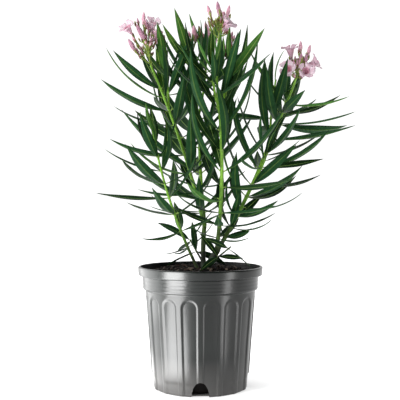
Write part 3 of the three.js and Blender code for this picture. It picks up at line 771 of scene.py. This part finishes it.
# %% [markdown]
# ## Leaves
#
# An oleander leaf is a long, leathery lance: a short flat stalk, the widest place near the
# middle, and a long point. A pale midrib runs through it, sunk into the upper face and standing
# out as a keel below, and the two halves rise from it in a shallow V whose rims roll down again.
# That fold is why one half of a leaf is often bright while the other is dark. A flat card with a
# picture could not show it, so each leaf is a closed skin: thirteen points around, with faces of
# their own for the upper side, the midrib and the underside.

# %% The measures of a leaf
LEAF_ROWS = 20
UPPER_POINTS = [-1, -0.74, -0.42, -0.07, 0.07, 0.42, 0.74, 1]
UNDER_POINTS = [0.6, 0.1, 0, -0.1, -0.6]
LEAF_BASE_WIDTH = 9
LEAF_WIDTH_SHARE = 0.075
STALK_SHARE = 0.045
STALK_WIDTH = 0.16
FOLD = 0.30
RIM_ROLL = 0.16
UPPER_FACE, MIDRIB_SINK, LOWER_FACE = 0.25, 0.2, -0.35
KEEL_SHARE = 0.0085
TWIST_SPREAD = 14
RIPPLE_HEIGHT = (0.02, 0.07)
RIPPLE_COUNT = (8, 14)
ROW_SHIFT = 0.035  # moves the rows from the tip to the foot, where the outline turns fastest


def blade_width(t):
    """The share of the full width at a share of the length: stalk, belly and long point."""
    blade = np.clip((t - STALK_SHARE) / (1 - STALK_SHARE), 0, 1)
    belly = blade**0.85 * (1 - blade) ** 1.05 / 0.272
    return np.maximum(belly, STALK_WIDTH * (1 - smoothstep((t - STALK_SHARE) * 12)))


# %% The shape of one leaf
def eased(line, length, t):
    """The middle line at shares of its length, drawn as one smooth curve through its points."""
    points, ways, uppers = (np.array(part) for part in zip(*line))
    place = t * LEAF_STEPS
    i = np.minimum(place.astype(int), LEAF_STEPS - 1)
    f = (place - i)[:, None]
    pull = length / LEAF_STEPS
    point = ((2 * f**3 - 3 * f**2 + 1) * points[i] + (f**3 - 2 * f**2 + f) * pull * ways[i]
             + (3 * f**2 - 2 * f**3) * points[i + 1] + (f**3 - f**2) * pull * ways[i + 1])
    way = (1 - f) * ways[i] + f * ways[i + 1]
    upper = (1 - f) * uppers[i] + f * uppers[i + 1]
    return point, way, upper


def leaf_rings(leaf):
    """The rings of points around a leaf, from its foot in the stem to just short of its tip."""
    length, dice = leaf["length"], leaf["dice"]
    even = np.linspace(0, 1, LEAF_ROWS + 1)[:-1]
    t = even + ROW_SHIFT * np.sin(math.tau * even)
    point, way, upper = eased(leaf["line"], length, t)
    twist = math.radians(dice.around(TWIST_SPREAD)) * t[:, None] ** 2
    edge = np.cross(way, upper)
    upper, edge = (upper * np.cos(twist) + edge * np.sin(twist),
                   edge * np.cos(twist) - upper * np.sin(twist))
    half = (LEAF_BASE_WIDTH + LEAF_WIDTH_SHARE * length) / 2
    width = half * blade_width(t)
    keel = KEEL_SHARE * length * (1 - 0.75 * t) * (0.7 + 0.3 * smoothstep(width / half / 0.4))
    ripple = dice.between(*RIPPLE_HEIGHT) * np.sin(dice.between(*RIPPLE_COUNT) * t + dice.between(0, 6))
    v = np.array(UPPER_POINTS + UNDER_POINTS)
    on_top = np.arange(len(v)) < len(UPPER_POINTS)
    width, keel, ripple = width[:, None], keel[:, None], ripple[:, None]
    rise = FOLD * np.abs(v) ** 1.2 - RIM_ROLL * np.abs(v) ** 4 + on_top * ripple * v**2 * np.sign(v)
    face = np.where(on_top, UPPER_FACE - MIDRIB_SINK * (np.abs(v) < 0.12), LOWER_FACE)
    ridge = ~on_top * ((v == 0) + 0.2 * (np.abs(v) < 0.2))
    height = width * rise + face - keel * ridge
    rings = point[:, None] + edge[:, None] * (width * v)[..., None] + upper[:, None] * height[..., None]
    return rings, leaf["line"][-1][0]


# %% [markdown]
# ** Oleander leaf, mature.** The upper face is covered with thick wax: dark green beneath, with a
# broad cool sheen, and a pale green sheen painted into its colour where it is seen at a slant. The
# underside is matte. **Young leaf.** Near the tips of the shoots the leaves are thinner and let
# light through, so they glow yellow green.
#
# The tint is dealt out leaf by leaf as plain colours, four for old leaves and three for young
# ones. Patterns stay finer than a leaf: fields between the side veins, 2 mm apart as in reality,
# and slight clouds. A little subsurface light stands for the light that comes through a blade.

# %% Leaf materials
OLD_GREENS = ["#12260f", "#162e11", "#1d3814", "#142b13"]
YOUNG_GREENS = ["#244017", "#33591d", "#4a7428"]
LEAF_CLOUD = 9
VEIN_SPACING = 2
SHEEN_TINT = "#a8d6ae"
# painted sheen: a pale green mixed into the leaves' base colour where a face is seen at a slant, in place
# of the white room's reflection
SLANT_SHEEN_COLOUR = "#56805c"
SLANT_SHEEN_EDGE = 0.3


def leaf_surface(name, colour, roughness, glow, veins, wax=0.03, slant_sheen=0.5):
    """A side or rib of a leaf: how much light comes through, how its veins stand out, how much
    it shines and how much painted sheen, a paler green, a slant view shows on it."""
    made, tree, shader, green = cloudy_surface(
        name, LEAF_CLOUD, {"Detail": 3.0}, [(0.3, linear(colour, 0.82)), (0.72, linear(colour, 1.18))],
        "ShaderNodeTexVoronoi", VEIN_SPACING, {}, (veins, 0.0002),
        Roughness=roughness, IOR=1.45, Specular_IOR_Level=wax, Specular_Tint=linear(SHEEN_TINT),
        Subsurface_Weight=glow, Subsurface_Scale=0.004, Subsurface_Radius=[0.8, 1.0, 0.4])
    # painted sheen: the slant view turns the base colour towards pale green
    slant = add(tree, "ShaderNodeLayerWeight", {"Blend": SLANT_SHEEN_EDGE})
    share = add(tree, "ShaderNodeMapRange", {"To Max": slant_sheen}, {"Value": slant.outputs["Facing"]})
    pale = add(tree, "ShaderNodeMixRGB", {"Color2": linear(SLANT_SHEEN_COLOUR)},
               {"Fac": share.outputs["Result"], "Color1": green})
    tree.links.new(pale.outputs["Color"], shader.inputs["Base Color"])
    return made


leaf_looks = [(f"waxy_leaf_face_{i}", green, 0.2, 0.0, 0.35) for i, green in enumerate(OLD_GREENS, 1)]
leaf_looks += [(f"young_leaf_face_{i}", green, 0.3, 0.08, 0.25) for i, green in enumerate(YOUNG_GREENS, 1)]
leaf_looks += [
    ("leaf_underside_old", "#1f4023", 0.45, 0.0, 0.5, 0.06, 0.15),
    ("leaf_underside_young", "#3a632b", 0.5, 0.08, 0.4, 0.05, 0.15),
    ("midrib_old", "#7f9c52", 0.45, 0.0, 0.1), ("midrib_young", "#9db964", 0.45, 0.1, 0.1),
    ("keel_below_old", "#49642f", 0.5, 0.0, 0.1), ("keel_below_young", "#728f45", 0.5, 0.0, 0.1),
]
leaf_materials = [leaf_surface(*look) for look in leaf_looks]
look_of = {look[0]: i for i, look in enumerate(leaf_looks)}
print("leaf materials", len(leaf_materials))

# %% All leaves in one mesh
YOUNG_FROM = 1.08
YOUTH_SPREAD = 0.7
leaf_bundle = Bundle()
for leaf in leaves:
    rings, tip = leaf_rings(leaf)
    tint = leaf["dice"].roll()
    young = leaf["youth"] + YOUTH_SPREAD * leaf["dice"].roll() > YOUNG_FROM
    face = len(OLD_GREENS) + int(len(YOUNG_GREENS) * tint) if young else int(len(OLD_GREENS) * tint)
    age = "young" if young else "old"
    rib, under, keel = (look_of[part + age] for part in ("midrib_", "leaf_underside_", "keel_below_"))
    looks = [face] * 3 + [rib] + [face] * 3 + [under] * 2 + [keel] * 2 + [under] * 2
    first_face = len(leaf_bundle.faces)
    leaf_bundle.skin(rings, looks, tip)
    leaf_bundle.looks[first_face:first_face + len(looks)] = [look_of["midrib_young"]] * len(looks)
leaf_piece = leaf_bundle.make("leaves", leaf_materials)
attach(leaf_piece, "root")
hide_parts(*[entry[0] for entry in MASSES])

# %% [markdown]
# ## Stems
#
# Oleander stems stay green for years. The youngest wood is lime green and smooth, older wood is
# olive, and only the foot has a thin grey bark with fine lengthwise cracks. Every whorl leaves a
# joint: a slight swelling with a scar under each of its three leaves. One skin for each limb
# carries all of that in its radius, and its colour is dealt out ring by ring from foot to tip.

# %% The joints of a stem
BARE_JOINT_SPACING = 21
FIRST_BARE_TURN = 35


def joints_of(limb):
    """The shares of a limb where it has a joint, with the turn of the scars there."""
    found = []
    for _, owner, whorls, first, last, turn, *_ in MASSES:
        if owner is limb:
            for whorl, height in enumerate(climb(whorls)):
                found.append((blend(first, last, height), turn + WHORL_TURN * whorl))
    lowest = min(found)[0] if found else 1
    step = BARE_JOINT_SPACING / limb.length()
    turn = FIRST_BARE_TURN
    while lowest - step > 0.02:
        lowest -= step
        turn += WHORL_TURN
        found.append((lowest, turn))
    return found


# %% The shape of the stems
RING_STEP = 2.5
JOINT_WIDTH = 2.6
JOINT_SWELL = 0.5 / 4  # a share of the radius, as the depth of a crack is
RIDGE, SCAR = 0.55, 0.8
CRACK_PITCH = 0.11
CRACK_YOUNG, CRACK_OLD = 0.02 / 5, 0.13 / 5
OLD_WOOD_Z, OLD_WOOD_FADE = 330, 90


def stem_rings(limb, seed, sunk):
    """Rings around a limb with its joints, leaf scars and bark, and how high each of them is."""
    joints = joints_of(limb)
    length = limb.length()
    dice = Dice(seed)
    phases = [dice.between(0, math.tau) for _ in range(6)]
    around = circle(limb.sides)
    rings, heights = [], []
    for share in np.linspace(-sunk / length, 1, int(length / RING_STEP)):
        middle = limb.at(share)
        age = float(np.clip((OLD_WOOD_Z - middle[2]) / OLD_WOOD_FADE, 0, 1))
        radius = np.full(limb.sides, limb.radius(max(share, 0)))
        for joint, turn in joints:
            off = (share - joint) * length
            if abs(off) < 4 * JOINT_WIDTH:
                swell = JOINT_SWELL * math.exp(-(off / JOINT_WIDTH) ** 2) * limb.radius(joint)
                scar = np.maximum(0, np.cos(3 * (around - math.radians(turn)))) ** 2
                radius += swell * (RIDGE + SCAR * scar)
        crack = 0
        for k in range(3):
            along = math.sin(CRACK_PITCH * share * length * (k + 1) + phases[k])
            crack = crack + along * np.cos((k + 3) * around + phases[-k])
        radius += (CRACK_YOUNG + CRACK_OLD * age) * crack * limb.radius(0.5)
        rings.append(middle + radius[:, None] * spokes(limb.way(share), around))
        heights.append(middle[2])
    return rings, heights


# %% [markdown]
# **Green bark.** Young bark is as smooth as a bean pod, with a soft shine; older bark is dull and
# freckled with lenticels, the pores through which the wood breathes, about 0.8 mm wide. Seven
# tones lead from the grey foot to the lime green tips, each a little smoother than the one below.

# %% Stem materials
STEM_TONES = ["#31382a", "#3a4a25", "#496624", "#578022", "#629425", "#6ea328", "#7cb232"]
OLDEST_Z, YOUNGEST_Z = 245, 430
LEFT_STEM_YOUTH = 1.2
BARK_CLOUD = 5
PORE_SPACING = 0.8
stem_materials = []
for i, colour in enumerate(STEM_TONES):
    roughness = 0.75 - 0.05 * i
    bark = cloudy_surface(
        f"green_bark_{i + 1}", BARK_CLOUD, {"Detail": 4.0},
        [(0.32, linear(colour, 0.72)), (0.7, linear(colour, 1.25))],
        "ShaderNodeTexVoronoi", PORE_SPACING, {}, (roughness - 0.2, 0.0003), Roughness=roughness, IOR=1.45)
    stem_materials.append(bark[0])
print("stem materials", len(stem_materials))

# %% All stems in one mesh
SOIL_SINK, SIDE_SINK = 2.5, 2
stem_bundle = Bundle()
for seed, limb in enumerate(limbs, 1):
    rings, heights = stem_rings(limb, seed, SOIL_SINK if limb.flare > 1 else SIDE_SINK)
    youth = (np.array(heights) - OLDEST_Z) / (YOUNGEST_Z - OLDEST_Z) * len(STEM_TONES)
    youth += LEFT_STEM_YOUTH if limb is left else 0
    tones = np.clip(youth, 0, len(STEM_TONES) - 1).astype(int)
    first_face = len(stem_bundle.faces)
    stem_bundle.skin(rings, 0, limb.tip + limb.way(1) * limb.tip_radius)
    stem_bundle.looks[first_face:] = np.repeat(tones, limb.sides).tolist() + [int(tones[-1])]
stem_piece = stem_bundle.make("stems", stem_materials)
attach(stem_piece, "root")
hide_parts("stem_left", "stem_back", "stem_front", "bough_back", "bough_inner",
            "bough_right", "bough_centre")

# %% [markdown]
# ## Blossom
#
# A flower head branches in threes from one stalk. Each blossom sits on a thin stalk in a calyx of
# five pointed sepals, brown red in the sun. The bud is a spindle of five petals wound around each
# other like a folded umbrella. The open flower is a funnel with five broad lobes, each slanted so
# that one edge lies over its neighbour, like the sails of a pinwheel.

# %% Stalks and thin blades
def bowed(foot, tip, bow, count):
    """Points from foot to tip on a line that bows by so much."""
    t = np.linspace(0, 1, count)[:, None]
    return foot * (1 - t) + tip * t + np.asarray(bow) * 4 * t * (1 - t)


def tube(bundle, points, radii, sides, look):
    """A tapering tube along points."""
    points = np.asarray(points)
    rings = []
    for i, point in enumerate(points):
        way = unit(points[min(i + 1, len(points) - 1)] - points[max(i - 1, 0)])
        rings.append(point + radii[i] * spokes(way, circle(sides)))
    bundle.skin(rings, look)


def slab(bundle, grid, out, thickness, look, under):
    """A closed thin blade: a grid of points, and the same again moved back by its thickness."""
    rows, columns = grid.shape[:2]
    back_grid = grid - out * thickness
    rings = [np.concatenate([grid[r], back_grid[r][::-1]]) for r in range(rows)]
    bundle.skin(rings, [look] * (columns - 1) + [under] * (columns + 1))


# %% Calyces and buds
SEPAL_ROWS = (0, 0.25, 0.55, 0.8, 1)
SEPAL_THICKNESS = 0.4
SEPAL_HALF_WIDTH = 0.15
CALYX_FOOT, CALYX_WIDENING = 0.17, 0.10
BUD_SIDES = 15
BUD_FULLNESS = 0.15
BUD_SHARES = [0, 0.12, 0.35, 0.55, 0.75, 0.9, 1]
BUD_SHAPE = [0.45, 0.62, 0.93, 1, 0.78, 0.42, 0.08]


def sepals(bundle, place, way, size, look, dice):
    """Five narrow sepals that clasp the foot of a blossom and part from it at their points."""
    for turn in dice.between(0, math.tau) + circle(5):
        out = spokes(way, turn)
        along = np.cross(way, out)
        part = dice.between(0.02, 0.30)
        tall = size * dice.between(0.85, 1.1)
        grid = []
        for t in SEPAL_ROWS:
            spread = size * (CALYX_FOOT + CALYX_WIDENING * t + part * t**3)
            half = size * SEPAL_HALF_WIDTH * (1 - t) ** 0.6 + 0.05
            grid.append([place + way * tall * t + out * spread + along * half * v for v in (-1, 0, 1)])
        slab(bundle, np.array(grid), out, SEPAL_THICKNESS, look, look)


def twisted_bud(bundle, place, aim, dice, look):
    """A spindle of five petals wound around each other."""
    turn = circle(BUD_SIDES)
    across = spokes(unit(aim), turn)
    wind = dice.between(2.0, 3.0)
    rings = []
    for t in np.linspace(0, 0.985, 16):
        radius = np.linalg.norm(aim) * BUD_FULLNESS * np.interp(t, BUD_SHARES, BUD_SHAPE)
        lobes = radius * (1 + 0.10 * np.cos(5 * (turn - wind * t)))
        rings.append(place + aim * t + across * lobes[:, None])
    bundle.skin(rings, look, place + aim)


# %% [markdown]
# A petal is drawn on a small grid: out from the throat, and from its one edge to the other. It
# starts as wide as a fifth of the throat, widens to a paddle and ends bluntly, with a slant. The
# one edge is lifted over the next petal's, and the whole lobe first spreads and then bows back.
# In the throat stands a crown of small teeth, three to a petal.

# %% An open flower
FUNNEL = [(1.7, 0), (2.4, 0.15), (3.9, 0.38), (5.7, 0.6), (7.2, 0.8), (8.2, 1.0)]
FUNNEL_SIDES = 20
PETAL_FOOT = 7.6
PETAL_NECK, PETAL_WIDENING = 5.0, 3.0
BROADEST_AT, BLUNT_END = 0.6, 0.42
PETAL_SLANT = 2.6
PETAL_SINK = 1.2
PETAL_THICKNESS = 0.35
TOOTH_TURNS = (-0.25, 0, 0.25)
TOOTH_RADIUS = 7.7
PETAL_FACE, PETAL_BACK, THROAT = 0, 1, 2


def petal_grid(mouth, way, angle, reach, dice):
    """The points of one lobe of a flower."""
    out = spokes(way, angle)
    along = np.cross(way, out)
    lean = dice.around(0.10)
    cup = dice.between(5, 8.5)
    curl = dice.between(0, 3.5)
    v = np.linspace(-1, 1, 7)
    grid = []
    for t in np.linspace(0, 1, 10):
        wide = PETAL_NECK + PETAL_WIDENING * math.sin(0.5 * math.pi * min(1, t / BROADEST_AT))
        if t > BROADEST_AT:
            wide *= math.sqrt(max(0.06, 1 - ((t - BROADEST_AT) / BLUNT_END) ** 2))
        far = blend(PETAL_FOOT, reach, t)
        rise = cup * math.sin(0.5 * math.pi * min(1, 1.25 * t)) - curl * t**3
        lift = 0.8 * v + 1.2 * t * v**2 + 0.6 * t * np.sin(5 * v + 9 * t + angle)
        shift = v * wide + PETAL_SLANT * t**2 + lean * far
        centre_point = mouth - way * PETAL_SINK + out * far
        grid.append(centre_point + along * shift[:, None] + way * (rise + lift)[:, None])
    return np.array(grid)


def open_flower(petals, place, aim, dice):
    """A funnel with five lobes and a toothed throat."""
    way = unit(aim)
    start = dice.between(0, math.tau)
    reach = dice.between(17, 18.5)
    rim = spokes(way, circle(FUNNEL_SIDES))
    walls = FUNNEL + [(radius - 0.7, up) for radius, up in reversed(FUNNEL[2:])]
    first = len(petals.faces)
    petals.skin([place + aim * up + rim * radius for radius, up in walls], PETAL_BACK, place + aim * 0.3)
    inner_faces = len(petals.faces) - first - (len(FUNNEL) - 1) * FUNNEL_SIDES
    petals.looks[-inner_faces:] = [THROAT] * inner_faces
    for angle in start + circle(5):
        grid = petal_grid(place + aim, way, angle, reach, dice)
        slab(petals, grid, way, PETAL_THICKNESS, PETAL_FACE, PETAL_BACK)
    crown = place + aim * 0.93
    for angle in start + circle(5):
        for tooth in TOOTH_TURNS:
            out = spokes(way, angle + tooth)
            along = np.cross(way, out)
            tip = crown + out * 6.0 + way * (4.0 - 4 * abs(tooth))
            foot = crown + out * TOOTH_RADIUS
            petals.skin([[foot + along * 0.8, foot - along * 0.8, foot - out * 0.6]], PETAL_FACE, tip)


# %% [markdown]
# In a head the stalks branch off one main stalk, the higher the further out their blossom stands,
# and each of them branches once more: round every blossom stand younger buds on stalks of their
# own, still olive green or just turning pink. They stay below the blossom, so the head reaches no
# further than in the frame.

# %% Younger buds
BUD_PINK, BUD_MAUVE, BUD_OLIVE = 0, 1, 2
OLIVE_UP_TO = 10.5
OLIVE_SEPAL_SHARE = 0.6
TWIG_RADII = [0.9, 0.8, 0.8, 1.0, 1.4]
petal_bundle, bud_bundle, calyx_bundle, stalk_bundle = Bundle(), Bundle(), Bundle(), Bundle()


def younger_bud(foot, way, dice):
    """A bud of the next weeks: a side stalk, a calyx and a slim green or pink spindle."""
    out = spokes(way, dice.between(0, math.tau))
    place = foot + unit(way + out * dice.between(0.45, 1.0)) * dice.between(8, 15)
    heading = unit(way + out * dice.around(0.3) + UP * 0.25)
    tube(stalk_bundle, bowed(foot, place, out * 1.2, len(TWIG_RADII)), TWIG_RADII, 6, 0)
    size = dice.between(7, 15)
    if size < OLIVE_UP_TO:
        look = BUD_OLIVE
    else:
        look = BUD_MAUVE if dice.roll() < 0.5 else BUD_PINK
    twisted_bud(bud_bundle, place, heading * size, dice, look)
    sepal = int(dice.roll() < OLIVE_SEPAL_SHARE)
    sepals(calyx_bundle, place - heading * 0.8, heading, min(8.0, size * 0.75), sepal, dice)


# %% All flower heads
RACHIS_SHARE = 0.5
RACHIS_RADII = np.linspace(2.3, 1.6, 6)
STALK_RADII = [1.5, 1.3, 1.2, 1.1, 1.2, 1.4, 1.7]
CALYX_SIZE = 8.5
YOUNGER_BUDS = 5
MAUVE_SHARE = 0.3
HEAD_KEY = 77
for name, limb, *_, seed, head in MASSES:
    if not head:
        continue
    middle = sum(blossom["calyx"] for blossom in head) / len(head)
    foot = limb.tip
    rachis = middle * RACHIS_SHARE
    tube(stalk_bundle, bowed(limb.at(0.98), foot + rachis, (0.6, 0, 0), 6), RACHIS_RADII, 8, 0)
    dice = Dice(seed, HEAD_KEY)
    for blossom in head:
        place = foot + blossom["calyx"]
        aim = blossom["aim"]
        way = unit(aim)
        height = np.clip(blossom["calyx"].dot(middle) / middle.dot(middle) - RACHIS_SHARE, 0.1, 0.95)
        sag = (dice.around(1.2), dice.around(1.2), -1.5)
        line = bowed(foot + rachis * height, place, sag, len(STALK_RADII))
        tube(stalk_bundle, line, STALK_RADII, 7, 0)
        if blossom["open"]:
            open_flower(petal_bundle, place, aim, dice)
        else:
            twisted_bud(bud_bundle, place, aim, dice, BUD_MAUVE if dice.roll() < MAUVE_SHARE else BUD_PINK)
        sepals(calyx_bundle, place - way * 1.2, way, CALYX_SIZE, int(dice.roll() < OLIVE_SEPAL_SHARE), dice)
        for k in range(YOUNGER_BUDS):
            younger_bud(line[2 + k % 4], way, dice)

# %% [markdown]
# **Petals** are thin and full of air: nearly white pink, matte, and soft at the edges because the
# light goes through them. **The throat** is a deeper rose. **Buds** are the deepest pink, with a
# mauve shade on the side that saw the sun. **Sepals** turn from olive to brown red.

# %% Blossom materials
PETAL_CLOUD = 7
CREPE_SPACING = 1.5


def petal_surface(name, pale, deep, roughness, glow):
    """Crepe of a petal, bud or sepal, pale with deeper clouds; glow is the light it lets through."""
    return cloudy_surface(
        name, PETAL_CLOUD, {"Detail": 3.0}, [(0.38, linear(deep)), (0.62, linear(pale))],
        "ShaderNodeTexNoise", CREPE_SPACING, {"Detail": 2.0}, (0.3, 0.0002),
        Roughness=roughness, IOR=1.4, Subsurface_Weight=glow, Subsurface_Scale=0.003,
        Subsurface_Radius=[1.0, 0.7, 0.7], Sheen_Weight=0.15)[0]


BLOSSOM = [
    (petal_bundle, "flower_petals", [
        ("petal_face", "#e6ccd8", "#d8b4c4", 0.6, 0.3), ("petal_back", "#d7b5c5", "#c59db0", 0.6, 0.3),
        ("flower_throat", "#dba9ba", "#cc93a7", 0.6, 0.2)]),
    (bud_bundle, "flower_buds", [
        ("bud_pink", "#e2b2c2", "#d197ab", 0.5, 0.2), ("bud_mauve", "#c494a8", "#a4748a", 0.5, 0.2),
        ("bud_olive", "#a0a054", "#848942", 0.5, 0.1)]),
    (calyx_bundle, "flower_calyces", [
        ("sepal_brown_red", "#855f3c", "#68442c", 0.55, 0.0),
        ("sepal_olive", "#98a04e", "#7a8037", 0.55, 0.0)]),
    (stalk_bundle, "flower_stalks", [("flower_stalk", "#8aa33f", "#6f8530", 0.5, 0.0)]),
]
for bundle, name, tints in BLOSSOM:
    piece = bundle.make(name, [petal_surface(*tint) for tint in tints])
    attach(piece, "root")

# %% [markdown]
# ## Potting mix
#
# The pot is filled with composted bark: dark crumbs that hold water, and chips from matchhead to
# thumbnail size, red brown where they broke and grey where they weathered. The ground is one
# mounded surface with a crumbly relief. The chips lie on it as separate blocks, since their
# shadows are what makes it look loose.

# %% The ground between the chips
MIX_FLAT_RADIUS = 56
MIX_EDGE_RADIUS = 121
MIX_EDGE_Z = 231.5
MIX_MIDDLE_RADIUS = 1.5
CHIP_LAYER = 2.5
GROUND_COLUMNS = 160
BURIED = [(80, 4), (82, 34), (95, 48), (104, 186), (113, 205), (115, 226), (118, 229)]


def mound(radius):
    """The height of the potting mix at a distance from the pot's axis."""
    share = (radius - MIX_FLAT_RADIUS) / (MIX_EDGE_RADIUS - MIX_FLAT_RADIUS)
    return SOIL_Z - CHIP_LAYER - (SOIL_Z - MIX_EDGE_Z) * smoothstep(share)


turn = circle(GROUND_COLUMNS)
ground_rings = [hoop(r, z, turn) for r, z in BURIED]
for r in np.linspace(MIX_EDGE_RADIUS, MIX_MIDDLE_RADIUS, 62):
    x, y = r * np.sin(turn), -r * np.cos(turn)
    # coarse crumbs about 20 mm apart, and finer ones of 7 mm between them
    crumb = (1.1 * np.sin(0.31 * x + 1.3 * np.sin(0.17 * y)) * np.sin(0.27 * y + np.sin(0.23 * x))
             + 0.7 * np.sin(0.9 * x + 2 * np.sin(0.5 * y)) * np.sin(0.8 * y + 1.7 * np.sin(0.6 * x)))
    ground_rings.append(hoop(r, mound(r) + crumb * min(1, r / 20), turn))
ground_bundle = Bundle()
ground_bundle.skin(ground_rings, 0)

# %% [markdown]
# A chip is a flake: a six cornered outline, drawn thick by one to four millimetres, with its
# upper face a little smaller and askew. Most lie flat, some stand at a slant. Chips near the
# stems are left out where they would cut through them.

# %% The bark chips
CHIPS = 1500
CHIP_KEY = 4001
CHIP_CORNERS = 6
SHORTEST_CHIP, CHIP_GROWTH = 3.5, 15
FLAT_SHARE = 0.8
FLAT_TILT, STEEP_TILT = 0.35, 1.0
CHIP_COLOURS = ["#100d0b", "#17120f", "#201813", "#2f1e16", "#43302a", "#75685b"]
DARK_BIAS = 1.7
chip_bundle = Bundle()
stem_feet = [(limb.foot[:2], limb.foot_radius * FLARE + 2) for limb in (left, back_trunk, front_trunk)]
for number in range(CHIPS):
    dice = Dice(CHIP_KEY, number)
    radius = (MIX_EDGE_RADIUS - 4) * math.sqrt(dice.roll())
    angle = dice.between(0, math.tau)
    spot = vec(radius * math.sin(angle), -radius * math.cos(angle), 0)
    length = SHORTEST_CHIP + CHIP_GROWTH * dice.roll() ** 3
    wide = length * dice.between(0.35, 0.7)
    thick = min(dice.between(1.2, 3.5), 0.5 * wide)
    on_stem = any(np.linalg.norm(spot[:2] - foot) < clear + length / 2 for foot, clear in stem_feet)
    if on_stem or radius + length / 2 > MIX_EDGE_RADIUS - 1:
        continue
    spot[2] = mound(radius) + 0.3 * thick + dice.between(0, 2.0)
    heading = dice.between(0, math.tau)
    tilt = dice.around(FLAT_TILT if dice.roll() < FLAT_SHARE else STEEP_TILT)
    ahead = unit(vec(math.cos(heading), math.sin(heading), dice.around(0.3)))
    beside = unit(np.cross(UP, ahead)) * math.cos(tilt) + UP * math.sin(tilt)
    top_way = unit(np.cross(ahead, beside))
    outline = []
    for k in range(CHIP_CORNERS):
        a = math.tau * (k + dice.around(0.25)) / CHIP_CORNERS
        size = dice.between(0.8, 1.1)
        outline.append(ahead * (length / 2 * math.cos(a) * size) + beside * (wide / 2 * math.sin(a) * size))
    low = [spot + p for p in outline]
    high = [spot + p * dice.between(0.75, 1) + top_way * thick * dice.between(0.8, 1.1) for p in outline]
    chip_bundle.skin([low, high], int(len(CHIP_COLOURS) * dice.roll() ** DARK_BIAS))

# %% [markdown]
# **Composted pine bark, damp.** Almost no shine, colours from near black through red brown to a
# few pale splinters. Each chip gets one of six plain colours; a fine fibre pattern, 1 mm wide,
# runs over all of them.

# %% Mix materials
CRUMB_COLOUR = "#0f0c0a"
CHIP_CLOUD = 3
FIBRE_WIDTH = 1


def damp_bark(name, colour):
    return cloudy_surface(
        name, CHIP_CLOUD, {"Detail": 5.0, "Roughness": 0.7},
        [(0.35, linear(colour, 0.5)), (0.68, linear(colour, 1.4))],
        "ShaderNodeTexNoise", FIBRE_WIDTH, {"Detail": 4.0}, (0.8, 0.0006), Roughness=0.9, IOR=1.4)[0]


chip_looks = [damp_bark(f"bark_chip_{i + 1}", colour) for i, colour in enumerate(CHIP_COLOURS)]
ground_piece = ground_bundle.make("potting_mix_ground", [damp_bark("damp_bark_crumbs", CRUMB_COLOUR)])
chip_piece = chip_bundle.make("bark_chips", chip_looks, smooth=False)
for piece in (ground_piece, chip_piece):
    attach(piece, "root")
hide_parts("potting_mix")
